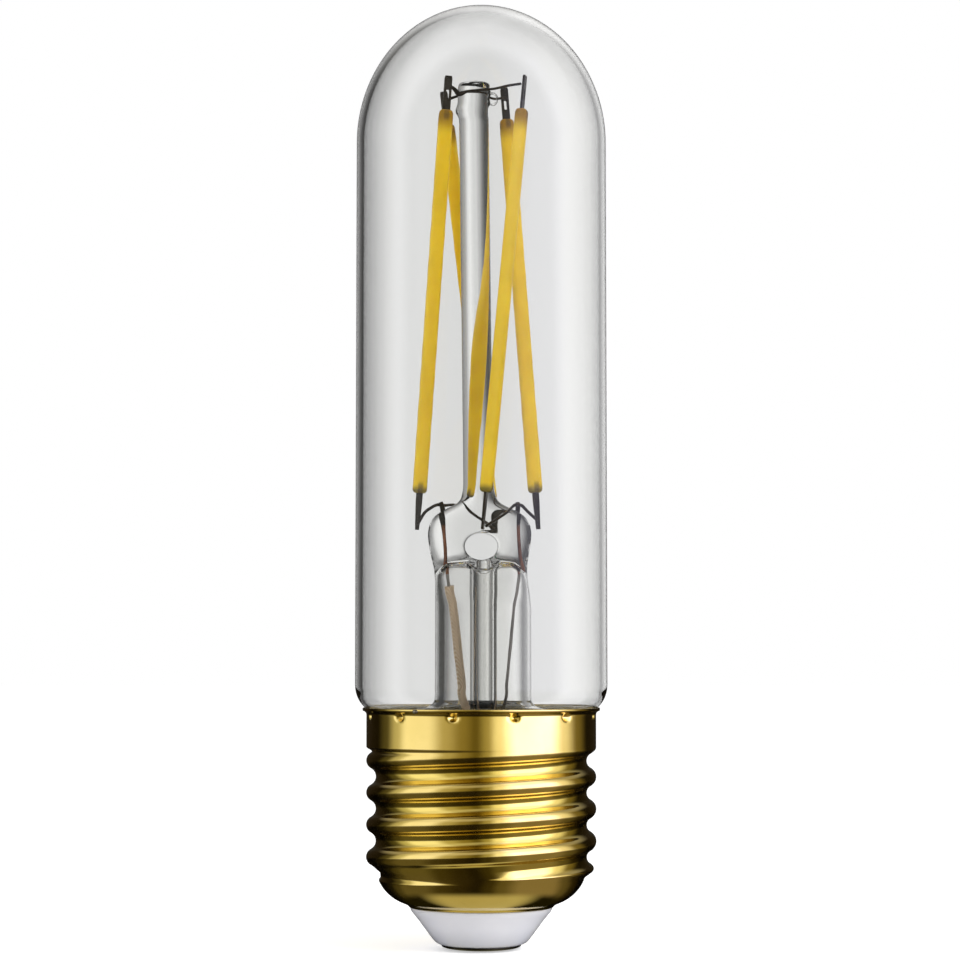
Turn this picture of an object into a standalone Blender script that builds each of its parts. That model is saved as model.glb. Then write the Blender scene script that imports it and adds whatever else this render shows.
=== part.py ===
"""Clear tubular LED filament bulb with a 27 mm brass screw cap.

The bulb stands on its centre contact: the origin is the middle of that contact and
+Z runs up the bulb's axis to the top of the glass. -Y is the side that shows the
broad face of the pinched stem.
"""

import math
from collections import namedtuple

import bmesh
import bpy
from mathutils import Matrix, Vector

MM = 0.001

# Overall
OVERALL_LENGTH = 107.9 * MM
CLEARANCE = 0.3 * MM
SEAT_CLEARANCE = 0.1 * MM
WIRE_CLEARANCE = 0.1 * MM
OVERRUN = 1.0 * MM
MERGE_DISTANCE = 0.001 * MM
TURNING_STEPS = 28

# Glass envelope
GLASS_DIAMETER = 28.7 * MM
GLASS_WALL = 0.8 * MM
DOME_HEIGHT = 15.9 * MM
DOME_STEPS = 7
SHOULDER_RADIUS = 2.5 * MM
SHOULDER_STEPS = 4
NECK_STEP = 0.5 * MM
NECK_FILLET = 0.3 * MM
NECK_FILLET_STEPS = 2
NECK_LENGTH = 3.6 * MM
CRIMP_GROOVE_DEPTH = 0.5 * MM
CRIMP_GROOVE_WIDTH = 1.6 * MM

# Screw cap
CAP_TOP = 27.2 * MM
CAP_WALL = 0.3 * MM
GLASS_OVERHANG = 0.85 * MM
RIM_FLANGE = 0.45 * MM
RIM_BAND = 0.4 * MM
RIM_BLEND = 0.5 * MM
THREAD_PITCH = 3.62 * MM
THREAD_ARC = 1.025 * MM
THREAD_CREST_DROP = 7.8 * MM
THREAD_DROP = 3.35 * MM
THREAD_RUN_IN = 2.0 * MM
THREAD_RUN_OUT = 1.6 * MM
ROWS_PER_PITCH = 7
KNEE_RADIUS = 3.0 * MM
CONE_ANGLE = math.radians(41)
LIP_RADIUS = 4.1 * MM
LIP_ANGLE = math.radians(70)
LIP_OPENING_DIAMETER = 16.1 * MM
BOWL_STEPS = 3
LIP_HEIGHT = 5.0 * MM
CRIMP_COUNT = 12
CRIMP_DROP = 1.25 * MM
CRIMP_DEPTH = 0.6 * MM
CRIMP_MOUTH_DIAMETER = 1.05 * MM
CRIMP_TIP_DIAMETER = 0.55 * MM
CRIMP_SIDES = 6

# Insulator
INSULATOR_WALL = 1.3 * MM
INSULATOR_FOOT_RADIUS = 5.25 * MM
INSULATOR_FOOT_HEIGHT = 0.9 * MM
INSULATOR_SHOULDER_HEIGHT = 4.7 * MM
INSULATOR_RIM_RISE = 0.55 * MM
INSULATOR_RIM_WIDTH = 1.2 * MM
INSULATOR_FLANGE_STEPS = 3
INSULATOR_SIDES = 24
RIVET_HOLE_DIAMETER = 3.0 * MM

# Centre contact
CONTACT_DIAMETER = 9.0 * MM
CONTACT_HEIGHT = 0.55 * MM
CONTACT_FLAT_DIAMETER = 4.4 * MM
CONTACT_EDGE = 0.2 * MM
CONTACT_STEPS = 4
CONTACT_SIDES = 16
RIVET_DIAMETER = 2.4 * MM
RIVET_LENGTH = 3.4 * MM
RIVET_BORE_DIAMETER = 1.4 * MM

# Stem glass, from the flare in the neck up to the head of the rod
STEM_SIDES = 20
FLARE_RIM = 0.7 * MM
FLARE_HEIGHT = 6.5 * MM
FLARE_STEPS = 5
TUBE_DIAMETER = 11.0 * MM
TUBE_WALL = 1.0 * MM
TUBE_LENGTH = 15.4 * MM
BORE_RISE = 1.6 * MM
BORE_CROWN = 1.6 * MM
PRESS_RISE = 4.6 * MM
PRESS_SPREAD = 1.1 * MM
PRESS_DEPTH = 3.8 * MM
PRESS_WAIST_RISE = 2.6 * MM
PRESS_WAIST_NARROWING = 0.5 * MM
PRESS_WAIST_FLATTENING = 2.6 * MM
PRESS_SHOULDER_RISE = 3.55 * MM
PRESS_SHOULDER_NARROWING = 4.9 * MM
ROD_DIAMETER = 3.45 * MM
ROD_FOOT_RISE = 2.45 * MM
ROD_HEADROOM = 8.9 * MM
HEAD_DIAMETER = 3.9 * MM
HEAD_WAIST_DIAMETER = 3.5 * MM
HEAD_LENGTH = 3.1 * MM
HEAD_BEAD = 0.7 * MM
HEAD_WIRE_DROP = 1.05 * MM
TUBE_OFFSET = 0.25 * MM
PRESS_OFFSET = -0.15 * MM
ROD_FOOT_OFFSET = -0.28 * MM
ROD_TOP_OFFSET = -0.88 * MM
VENT_DROP = 0.8 * MM
VENT_WIDTH = 3.85 * MM
VENT_LENGTH = 3.2 * MM
EYE_WIDTH = 1.1 * MM
EYE_HEIGHT = 1.75 * MM
EYE_THICKNESS = 0.34 * MM
EYE_STEPS = 10
EYE_DROP = 1.85 * MM

# Exhaust tube
EXHAUST_DIAMETER = 3.1 * MM
EXHAUST_SIDES = 12
EXHAUST_BORE_DIAMETER = 1.7 * MM
EXHAUST_LENGTH = 23.3 * MM
EXHAUST_SEAL = 2.4 * MM
EXHAUST_STEPS = 4

# Filaments and their end tabs
FILAMENT_WIDTH = 1.65 * MM
FILAMENT_THICKNESS = 1.4 * MM
FILAMENT_ROUNDING = 0.35 * MM
FILAMENT_SIDES = 12
FILAMENT_DROP = 3.55 * MM
FILAMENT_SLACK = 0.85 * MM
CAGE_TOP_RADIUS = 4.7 * MM
CAGE_FOOT_RADIUS = 6.6 * MM
TOP_TAB_WIDTH = 0.9 * MM
TOP_TAB_TIP_WIDTH = 0.75 * MM
FOOT_TAB_WIDTH = 0.75 * MM
FOOT_TAB_TIP_WIDTH = 0.45 * MM
TAB_THICKNESS = 0.25 * MM
TOP_TAB_LENGTH = 3.9 * MM
FOOT_TAB_LENGTH = 4.2 * MM
TOP_TAB_TAPER = 0.3 * MM
FOOT_TAB_TAPER = 3.2 * MM
TAB_SLOT_WIDTH = 0.35 * MM
TAB_SLOT_LENGTH = 1.1 * MM
TAB_SLOT_PLACE = 1.2 * MM

# Lead-in and cross wires
WIRE_DIAMETER = 0.36 * MM
LEAD_INSET = 0.1 * MM
LEFT_LEAD_FOOT_INSET = 0.75 * MM
RIGHT_LEAD_FOOT_INSET = 0.45 * MM
LEAD_RISE = 0.75 * MM
DUMET_REACH = 1.0 * MM
SLEEVE_DIAMETER = 1.1 * MM
SLEEVE_DROP = 1.4 * MM
SLEEVE_LENGTH = 18.6 * MM
ROUTE_STEPS = 3

# Driver board and what is soldered to it
BOARD_GAP = 0.85 * MM
BOARD_THICKNESS = 1.0 * MM
PAD_HOLE_DIAMETER = 0.8 * MM
LEAD_STUB = 0.7 * MM
CAPACITOR_DIAMETER = 6.3 * MM
CAPACITOR_HEIGHT = 7.6 * MM
CAPACITOR_CRIMP = 0.3 * MM
CAPACITOR_CRIMP_HEIGHT = 1.2 * MM
CAPACITOR_ROUNDING = 0.4 * MM
CAPACITOR_SIDES = 16
RECTIFIER_SIZE = (4.7 * MM, 3.9 * MM, 2.4 * MM)
CHIP_SIZE = (4.9 * MM, 3.9 * MM, 1.5 * MM)
PACKAGE_BEVEL = 0.25 * MM
LEG_REACH = 0.9 * MM
LEG_WIDTH = 0.5 * MM
LEG_THICKNESS = 0.3 * MM
RESISTOR_DIAMETER = 2.4 * MM
RESISTOR_WAIST_DIAMETER = 1.9 * MM
RESISTOR_LENGTH = 5.6 * MM
RESISTOR_SIDES = 10
RESISTOR_CAP_LENGTH = 1.3 * MM
RESISTOR_LEAD_REACH = 1.1 * MM
RESISTOR_LIFT = 0.4 * MM

# Lead from the board to the rim of the cap
SIDE_LEAD_DIAMETER = 0.25 * MM
SIDE_LEAD_ANGLE = math.radians(237.5)
SIDE_NOTCH_WIDTH = 1.1 * MM
SIDE_NOTCH_DEPTH = 0.55 * MM
SOLDER_DIAMETER = 0.8 * MM

# Values that follow from the sizes above
WIRE_RADIUS = WIRE_DIAMETER / 2
GLASS_RADIUS = GLASS_DIAMETER / 2
RIM_RADIUS = GLASS_RADIUS - GLASS_OVERHANG
CAP_RADIUS = RIM_RADIUS - RIM_FLANGE
SHOULDER_CENTRE_RADIUS = GLASS_RADIUS - SHOULDER_RADIUS
RIM_TO_SHOULDER = RIM_RADIUS - CAP_WALL - SHOULDER_CENTRE_RADIUS
SHOULDER_RISE = math.sqrt((SHOULDER_RADIUS + SEAT_CLEARANCE) ** 2 - RIM_TO_SHOULDER**2)
SHOULDER_CENTRE_HEIGHT = CAP_TOP + SHOULDER_RISE
NECK_RADIUS = SHOULDER_CENTRE_RADIUS - NECK_STEP
NECK_TOP = SHOULDER_CENTRE_HEIGHT - SHOULDER_RADIUS
NECK_END = NECK_TOP - NECK_LENGTH
CRIMP_HEIGHT = CAP_TOP - CRIMP_DROP

# Thread and bowl of the shell
THREAD_CREST_HEIGHT = CAP_TOP - THREAD_CREST_DROP
THREAD_TOP = CAP_TOP - THREAD_DROP
THREAD_DEPTH = 2 * THREAD_ARC - math.sqrt((2 * THREAD_ARC) ** 2 - (THREAD_PITCH / 2) ** 2)
LIP_OPENING_RADIUS = LIP_OPENING_DIAMETER / 2
LIP_CENTRE_RADIUS = LIP_OPENING_RADIUS - LIP_RADIUS * math.cos(LIP_ANGLE)
LIP_CENTRE_HEIGHT = LIP_HEIGHT + LIP_RADIUS * math.sin(LIP_ANGLE)
CONE_FOOT_RADIUS = LIP_CENTRE_RADIUS + LIP_RADIUS * math.cos(CONE_ANGLE)
CONE_FOOT_HEIGHT = LIP_CENTRE_HEIGHT - LIP_RADIUS * math.sin(CONE_ANGLE)
CONE_TOP_RADIUS = CAP_RADIUS - KNEE_RADIUS * (1.0 - math.cos(CONE_ANGLE))
CONE_TOP_HEIGHT = CONE_FOOT_HEIGHT + (CONE_TOP_RADIUS - CONE_FOOT_RADIUS) / math.tan(CONE_ANGLE)
KNEE_TOP = CONE_TOP_HEIGHT + KNEE_RADIUS * math.sin(CONE_ANGLE)
INSULATOR_TOP = KNEE_TOP + INSULATOR_RIM_RISE
BOARD_RADIUS = CAP_RADIUS - THREAD_DEPTH - CAP_WALL - BOARD_GAP
BOARD_BASE = INSULATOR_TOP
BOARD_TOP = BOARD_BASE + BOARD_THICKNESS

# Widths of the stem and heights of its parts, from the flare in the neck up to the head
TUBE_BORE_RADIUS = TUBE_DIAMETER / 2 - TUBE_WALL
PRESS_WIDTH = TUBE_DIAMETER + PRESS_SPREAD
PRESS_WAIST_WIDTH = TUBE_DIAMETER - PRESS_WAIST_NARROWING
PRESS_WAIST_DEPTH = TUBE_DIAMETER - PRESS_WAIST_FLATTENING
PRESS_SHOULDER_WIDTH = PRESS_WIDTH - PRESS_SHOULDER_NARROWING
FLARE_RADIUS = NECK_RADIUS - GLASS_WALL - CLEARANCE
FLARE_BASE = NECK_END + FLARE_RIM / 2
TUBE_END = FLARE_BASE + TUBE_LENGTH
PRESS_WAIST_HEIGHT = TUBE_END + PRESS_WAIST_RISE
BORE_TOP = PRESS_WAIST_HEIGHT + BORE_RISE
PRESS_HEIGHT = PRESS_WAIST_HEIGHT + PRESS_RISE
VENT_HEIGHT = PRESS_HEIGHT - VENT_DROP
PRESS_SHOULDER_HEIGHT = PRESS_HEIGHT + PRESS_SHOULDER_RISE
ROD_FOOT = PRESS_SHOULDER_HEIGHT + ROD_FOOT_RISE
ROD_TOP = OVERALL_LENGTH - ROD_HEADROOM
EXHAUST_TOP = BORE_TOP - CLEARANCE
EXHAUST_TIP = EXHAUST_TOP - EXHAUST_LENGTH

# Heights of what the stem carries
FILAMENT_TOP = ROD_TOP - FILAMENT_DROP
FILAMENT_LENGTH = FILAMENT_TOP - ROD_FOOT + FILAMENT_SLACK
LEAD_TOP = PRESS_SHOULDER_HEIGHT + LEAD_RISE
DUMET_END = BORE_TOP - DUMET_REACH
SLEEVE_TOP = DUMET_END - SLEEVE_DROP
SLEEVE_END = SLEEVE_TOP - SLEEVE_LENGTH

# Sections of the pinch as (height, width, depth, squareness)
ROUND = 2.0
PRESS_SQUARENESS = 3.2
PRESS_WAIST = (PRESS_WAIST_HEIGHT, PRESS_WAIST_WIDTH, PRESS_WAIST_DEPTH, 2.2)
PRESS = (PRESS_HEIGHT, PRESS_WIDTH, PRESS_DEPTH, PRESS_SQUARENESS)

# How far up the shoulder, and how far in from the pinch's width to the shoulder's, as shares
SHOULDER_SHARES = ((0.4, 0.0), (0.75, 0.36), (1.0, 1.0))

# How far up from the shoulder to the rod, and how far in to the rod's width, as shares
ROD_FILLET_SHARES = ((0.22, 0.62), (0.55, 0.9), (1.0, 1.0))

Finish = namedtuple("Finish", "name colour roughness metallic transmission")
Strip = namedtuple("Strip", "name top_shares foot_shares drop_share facing")

CLEAR_GLASS = Finish("clear_glass", (0.94, 0.95, 0.95), 0.02, 0.0, 1.0)
BRASS = Finish("brass", (0.72, 0.53, 0.2), 0.22, 1.0, 0.0)
WHITE_PLASTIC = Finish("white_plastic", (0.78, 0.77, 0.82), 0.25, 0.0, 0.0)
DARK_STEEL = Finish("contact_metal", (0.1, 0.09, 0.08), 0.35, 1.0, 0.0)
PHOSPHOR = Finish("phosphor", (0.83, 0.6, 0.06), 0.45, 0.0, 0.0)
TAB_METAL = Finish("tab_metal", (0.12, 0.1, 0.08), 0.4, 1.0, 0.0)
NICKEL = Finish("nickel_wire", (0.16, 0.13, 0.1), 0.35, 1.0, 0.0)
DUMET = Finish("dumet_wire", (0.36, 0.13, 0.07), 0.4, 1.0, 0.0)
COPPER = Finish("tinned_copper", (0.3, 0.28, 0.26), 0.35, 1.0, 0.0)
SLEEVING = Finish("glass_fibre_sleeve", (0.62, 0.55, 0.36), 0.8, 0.0, 0.0)
BOARD_GREEN = Finish("board_laminate", (0.05, 0.25, 0.12), 0.5, 0.0, 0.0)
BLACK_EPOXY = Finish("black_epoxy", (0.02, 0.02, 0.022), 0.5, 0.0, 0.0)
CAPACITOR_BLUE = Finish("capacitor_sleeve", (0.05, 0.08, 0.2), 0.35, 0.0, 0.0)
RESISTOR_GREEN = Finish("resistor_lacquer", (0.22, 0.42, 0.34), 0.45, 0.0, 0.0)

# Places of the strips as shares of the two cage radii, how low each one hangs as a share of its
# upper tab, and which way its flat side looks
STRIPS = (
    Strip("filament_1", (-0.85, -0.53), (-1.07, 0.0), 0.0, math.radians(8)),
    Strip("filament_2", (-0.84, 0.53), (0.16, 0.91), 0.18, math.radians(-12)),
    Strip("filament_3", (0.63, 0.64), (0.94, 0.0), 0.0, math.radians(15)),
    Strip("filament_4", (0.98, -0.91), (0.08, -0.91), 0.08, math.radians(72)),
)

# Where the outer leads pass the throat of the flare, as shares of the tube's bore
LEFT_LEAD_THROAT_SHARES = (-0.59, 0.56)
RIGHT_LEAD_THROAT_SHARES = (0.61, 0.16)

# Places on the driver board, as shares of its radius
CAPACITOR_PLACE_SHARES = (-0.52, 0.2)
RECTIFIER_PLACE_SHARES = (0.36, 0.52)
CHIP_PLACE_SHARES = (0.42, -0.22)
RESISTOR_PLACE_SHARE = -0.62
LEFT_LEAD_HOLE_SHARES = (-0.02, 0.56)
RIGHT_LEAD_HOLE_SHARES = (0.1, 0.16)
CONTACT_LEAD_HOLE_SHARES = (0.0, -0.12)
SIDE_LEAD_HOLE_RADIUS_SHARE = 0.88


def clear_scene():
    for old in list(bpy.data.objects):
        bpy.data.objects.remove(old)


def new_collection(name):
    made = bpy.data.collections.new(name)
    bpy.context.scene.collection.children.link(made)
    return made


def material_of(finish):
    made = bpy.data.materials.get(finish.name)
    if made:
        return made
    made = bpy.data.materials.new(finish.name)
    made.use_nodes = True
    made.diffuse_color = (*finish.colour, 1.0)
    shader = made.node_tree.nodes["Principled BSDF"]
    shader.inputs["Base Color"].default_value = (*finish.colour, 1.0)
    shader.inputs["Roughness"].default_value = finish.roughness
    shader.inputs["Metallic"].default_value = finish.metallic
    shader.inputs["Transmission Weight"].default_value = finish.transmission
    return made


def place(obj, collection, finish=None, matrix=None):
    """Links the object, gives it its finish, and puts it at its place."""
    collection.objects.link(obj)
    if finish:
        obj.data.materials.append(material_of(finish))
    if matrix:
        obj.matrix_world = matrix
    return obj


def as_cutter(obj):
    obj.hide_render = True
    obj.display_type = "WIRE"
    return obj


def smooth(obj, sharp_angle=math.radians(35)):
    obj.data.shade_smooth()
    obj.data.set_sharp_from_angle(angle=sharp_angle)
    return obj


def mesh_object(name, bm):
    mesh = bpy.data.meshes.new(name)
    bm.to_mesh(mesh)
    bm.free()
    return bpy.data.objects.new(name, mesh)


def baked(obj):
    """The object's evaluated shape as a plain mesh object with its caps and seams welded."""
    graph = bpy.context.evaluated_depsgraph_get()
    mesh = bpy.data.meshes.new_from_object(obj.evaluated_get(graph))
    bm = bmesh.new()
    bm.from_mesh(mesh)
    bmesh.ops.remove_doubles(bm, verts=bm.verts, dist=MERGE_DISTANCE)
    bm.to_mesh(mesh)
    bm.free()
    made = bpy.data.objects.new(obj.name, mesh)
    made.matrix_world = obj.matrix_world
    name = obj.name
    homes = list(obj.users_collection)
    hidden = obj.hide_render
    bpy.data.objects.remove(obj)
    for home in homes:
        home.objects.link(made)
    made.name = name
    made.hide_render = hidden
    return made


def polyline_object(name, points):
    mesh = bpy.data.meshes.new(name)
    edges = [(i, i + 1) for i in range(len(points) - 1)]
    mesh.from_pydata([(radius, 0.0, height) for radius, height in points], edges, [])
    return bpy.data.objects.new(name, mesh)


def turned(name, profile, steps=TURNING_STEPS):
    """A profile of (radius, height) points, listed from top to bottom, turned round Z."""
    obj = polyline_object(name, profile)
    screw = obj.modifiers.new("turned", "SCREW")
    screw.steps = steps
    screw.render_steps = steps
    screw.use_merge_vertices = True
    screw.merge_threshold = MERGE_DISTANCE
    screw.use_smooth_shade = True
    return obj


def thickened(obj, wall):
    """Gives an outer surface its wall, inwards."""
    solid = obj.modifiers.new("wall", "SOLIDIFY")
    solid.thickness = wall
    solid.offset = -1.0
    solid.use_even_offset = True
    return obj


def boolean(obj, cutter, operation):
    made = obj.modifiers.new(operation.lower(), "BOOLEAN")
    made.operation = operation
    made.object = cutter
    return made


def bevelled(obj, width, segments=2, angle=math.radians(40)):
    made = obj.modifiers.new("edges", "BEVEL")
    made.width = width
    made.segments = segments
    made.limit_method = "ANGLE"
    made.angle_limit = angle
    return made


def rod_mesh(name, radius, length, sides, end_radius=None):
    """A closed round bar along Z, centred on its own origin."""
    bm = bmesh.new()
    bmesh.ops.create_cone(
        bm,
        cap_ends=True,
        segments=sides,
        radius1=radius,
        radius2=radius if end_radius is None else end_radius,
        depth=length,
    )
    return mesh_object(name, bm)


def box_mesh(name, length, width, height):
    """A box on its own origin, standing on its underside."""
    bm = bmesh.new()
    bmesh.ops.create_cube(bm, size=1.0)
    bmesh.ops.scale(bm, vec=(length, width, height), verts=bm.verts)
    bmesh.ops.translate(bm, vec=(0.0, 0.0, height / 2), verts=bm.verts)
    return mesh_object(name, bm)


def loft(name, rings):
    """Closed surface through rings of points that run anticlockwise, from the lowest ring up."""
    bm = bmesh.new()
    rows = [[bm.verts.new(point) for point in ring] for ring in rings]
    count = len(rows[0])
    for low, high in zip(rows, rows[1:]):
        for i in range(count):
            j = (i + 1) % count
            bm.faces.new((low[i], low[j], high[j], high[i]))
    bm.faces.new(reversed(rows[0]))
    bm.faces.new(rows[-1])
    return mesh_object(name, bm)


def arc(centre, radius, start, end, steps):
    """Points of a circular arc, both ends included, angles from the +radius direction."""
    angles = [start + (end - start) * i / steps for i in range(steps + 1)]
    return [(centre[0] + radius * math.cos(a), centre[1] + radius * math.sin(a)) for a in angles]


def ease(share):
    """Smooth step from 0 to 1."""
    share = min(max(share, 0.0), 1.0)
    return share * share * (3.0 - 2.0 * share)


def between(low, high, share):
    return low + (high - low) * share


def smooth_route(points, steps=ROUTE_STEPS):
    """A smooth curve through the route's own points."""
    points = [Vector(point) for point in points]
    ends = [points[0] * 2 - points[1], *points, points[-1] * 2 - points[-2]]
    route = []
    for before, start, end, after in zip(ends, ends[1:], ends[2:], ends[3:]):
        for i in range(steps):
            t = i / steps
            route.append(
                (
                    start * 2
                    + (end - before) * t
                    + (before * 2 - start * 5 + end * 4 - after) * t**2
                    + (start * 3 - before - end * 3 + after) * t**3
                )
                / 2
            )
    return [*route, points[-1]]


def wire_curve(name, points, diameter=WIRE_DIAMETER):
    """A round wire along the points, as a curve with filled caps."""
    data = bpy.data.curves.new(name, "CURVE")
    data.dimensions = "3D"
    data.bevel_depth = diameter / 2
    data.bevel_resolution = 2
    data.use_fill_caps = True
    spline = data.splines.new("POLY")
    spline.points.add(len(points) - 1)
    for point, target in zip(spline.points, points):
        point.co = (*target, 1.0)
    return bpy.data.objects.new(name, data)


def flat_curve(name, outlines, thickness):
    """A flat plate with the first outline as its edge and the others as holes."""
    data = bpy.data.curves.new(name, "CURVE")
    data.dimensions = "2D"
    data.fill_mode = "BOTH"
    data.extrude = thickness / 2
    for outline in outlines:
        spline = data.splines.new("POLY")
        spline.points.add(len(outline) - 1)
        for point, (x, y) in zip(spline.points, outline):
            point.co = (x, y, 0.0, 1.0)
        spline.use_cyclic_u = True
    return bpy.data.objects.new(name, data)


# Glass envelope


def envelope_profile():
    """Outer line of the blown glass, from the crown down to the end of the neck."""
    dome_base = OVERALL_LENGTH - DOME_HEIGHT
    turns = [math.pi / 2 * i / DOME_STEPS for i in range(DOME_STEPS + 1)]
    dome = [(GLASS_RADIUS * math.sin(t), dome_base + DOME_HEIGHT * math.cos(t)) for t in turns]
    dome[0] = (0.0, OVERALL_LENGTH)
    centre = (SHOULDER_CENTRE_RADIUS, SHOULDER_CENTRE_HEIGHT)
    shoulder = arc(centre, SHOULDER_RADIUS, 0.0, -math.pi / 2, SHOULDER_STEPS)
    fillet_centre = (NECK_RADIUS + NECK_FILLET, NECK_TOP - NECK_FILLET)
    neck = arc(fillet_centre, NECK_FILLET, math.pi / 2, math.pi, NECK_FILLET_STEPS)
    half_groove = CRIMP_GROOVE_WIDTH / 2
    groove = [
        (NECK_RADIUS, CRIMP_HEIGHT + half_groove),
        (NECK_RADIUS - CRIMP_GROOVE_DEPTH, CRIMP_HEIGHT + half_groove / 2),
        (NECK_RADIUS - CRIMP_GROOVE_DEPTH, CRIMP_HEIGHT - half_groove / 2),
        (NECK_RADIUS, CRIMP_HEIGHT - half_groove),
    ]
    below_neck = [point for point in groove if point[1] < neck[-1][1]]
    return [*dome, *shoulder, *neck, *below_neck, (NECK_RADIUS, NECK_END)]


def make_envelope(parts):
    obj = place(turned("glass_envelope", envelope_profile()), parts, CLEAR_GLASS)
    thickened(obj, GLASS_WALL)


# Stem: flare, tube, pinch, rod and head, drawn and pressed from one tube and one rod


def stem_offset(height):
    """Sideways place of the stem's middle line, which sways a little as it was pressed by hand."""
    stations = (
        (FLARE_BASE + FLARE_HEIGHT, 0.0, TUBE_OFFSET, FLARE_BASE),
        (PRESS_HEIGHT, TUBE_OFFSET, PRESS_OFFSET, TUBE_END),
        (ROD_FOOT, PRESS_OFFSET, ROD_FOOT_OFFSET, PRESS_HEIGHT),
        (ROD_TOP, ROD_FOOT_OFFSET, ROD_TOP_OFFSET, ROD_FOOT),
    )
    for end, before, after, start in stations:
        if height <= end:
            return between(before, after, min(max((height - start) / (end - start), 0.0), 1.0))
    return ROD_TOP_OFFSET


def stem_ring(height, width, depth, squareness=ROUND):
    """One section of the stem: a circle, or an oblong with full corners as squareness grows."""
    points = []
    for i in range(STEM_SIDES):
        turn = 2 * math.pi * i / STEM_SIDES
        x = math.copysign(abs(math.cos(turn)) ** (2 / squareness), math.cos(turn))
        y = math.copysign(abs(math.sin(turn)) ** (2 / squareness), math.sin(turn))
        points.append((stem_offset(height) + width / 2 * x, depth / 2 * y, height))
    return points


def flare_width(share, rim, tube):
    """Width of the flare, from its rim at share 0 to the plain tube at share 1."""
    return tube + (rim - tube) * (1.0 - share) ** 3


def press_sections():
    """Sections of the pinch, from the round tube up to the round rod."""
    middle = [(low + high) / 2 for low, high in zip(PRESS_WAIST, PRESS)]
    rising = [
        (
            PRESS_HEIGHT + PRESS_SHOULDER_RISE * rise_share,
            between(PRESS_WIDTH, PRESS_SHOULDER_WIDTH, width_share),
            between(PRESS_DEPTH, ROD_DIAMETER, rise_share),
            between(PRESS_SQUARENESS, ROUND, rise_share),
        )
        for rise_share, width_share in SHOULDER_SHARES
    ]
    narrowing = [
        (
            PRESS_SHOULDER_HEIGHT + ROD_FOOT_RISE * rise_share,
            between(PRESS_SHOULDER_WIDTH, ROD_DIAMETER, width_share),
            ROD_DIAMETER,
            ROUND,
        )
        for rise_share, width_share in ROD_FILLET_SHARES
    ]
    return [(TUBE_END, TUBE_DIAMETER, TUBE_DIAMETER, ROUND), PRESS_WAIST, middle, PRESS, *rising, *narrowing]


def stem_rings():
    rim = 2 * FLARE_RADIUS
    flare_start = FLARE_BASE + FLARE_RIM
    shares = [i / FLARE_STEPS for i in range(FLARE_STEPS + 1)]
    rings = [stem_ring(FLARE_BASE, rim, rim)]
    for share in shares:
        width = flare_width(share, rim, TUBE_DIAMETER)
        rings.append(stem_ring(flare_start + FLARE_HEIGHT * share, width, width))
    rings += [stem_ring(*row) for row in press_sections()]
    head_base = ROD_TOP - HEAD_LENGTH
    heads = (
        (head_base - HEAD_BEAD, ROD_DIAMETER),
        (head_base - HEAD_BEAD / 2, HEAD_DIAMETER),
        (head_base, HEAD_DIAMETER),
        (head_base + HEAD_BEAD / 2, HEAD_WAIST_DIAMETER),
        (ROD_TOP - HEAD_BEAD, HEAD_WAIST_DIAMETER),
        (ROD_TOP - HEAD_BEAD / 2, HEAD_DIAMETER),
        (ROD_TOP - HEAD_BEAD / 6, HEAD_DIAMETER * 0.96),
        (ROD_TOP, HEAD_DIAMETER * 0.8),
    )
    return rings + [stem_ring(height, width, width) for height, width in heads]


def bore_rings():
    """Hollow of the flare tube, closed above by a rounded crown."""
    rim = 2 * (FLARE_RADIUS - TUBE_WALL)
    bore = 2 * TUBE_BORE_RADIUS
    shares = [i / FLARE_STEPS for i in range(FLARE_STEPS + 1)]
    rings = [stem_ring(FLARE_BASE - OVERRUN, rim, rim)]
    for share in shares:
        width = flare_width(share, rim, bore)
        rings.append(stem_ring(FLARE_BASE + FLARE_HEIGHT * share, width, width))
    waist_bore = PRESS_WAIST_DEPTH - 2 * TUBE_WALL
    rings.append(stem_ring(TUBE_END, bore, bore))
    rings.append(stem_ring(BORE_TOP - BORE_CROWN, bore * 0.99, waist_bore))
    rings.append(stem_ring(BORE_TOP - BORE_CROWN / 3, bore * 0.97, waist_bore * 0.72))
    rings.append(stem_ring(BORE_TOP, bore * 0.93, waist_bore * 0.46))
    return rings


def lead_place(side, height):
    """Middle of a lead-in wire in the pinch; side is -1 on the left and 1 on the right."""
    foot_inset = LEFT_LEAD_FOOT_INSET if side < 0 else RIGHT_LEAD_FOOT_INSET
    inset = between(foot_inset, LEAD_INSET, (height - DUMET_END) / (LEAD_TOP - DUMET_END))
    return Vector((stem_offset(height) + side * (TUBE_BORE_RADIUS - inset), 0.0, height))


def head_wire_height():
    return ROD_TOP - HEAD_WIRE_DROP


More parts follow.
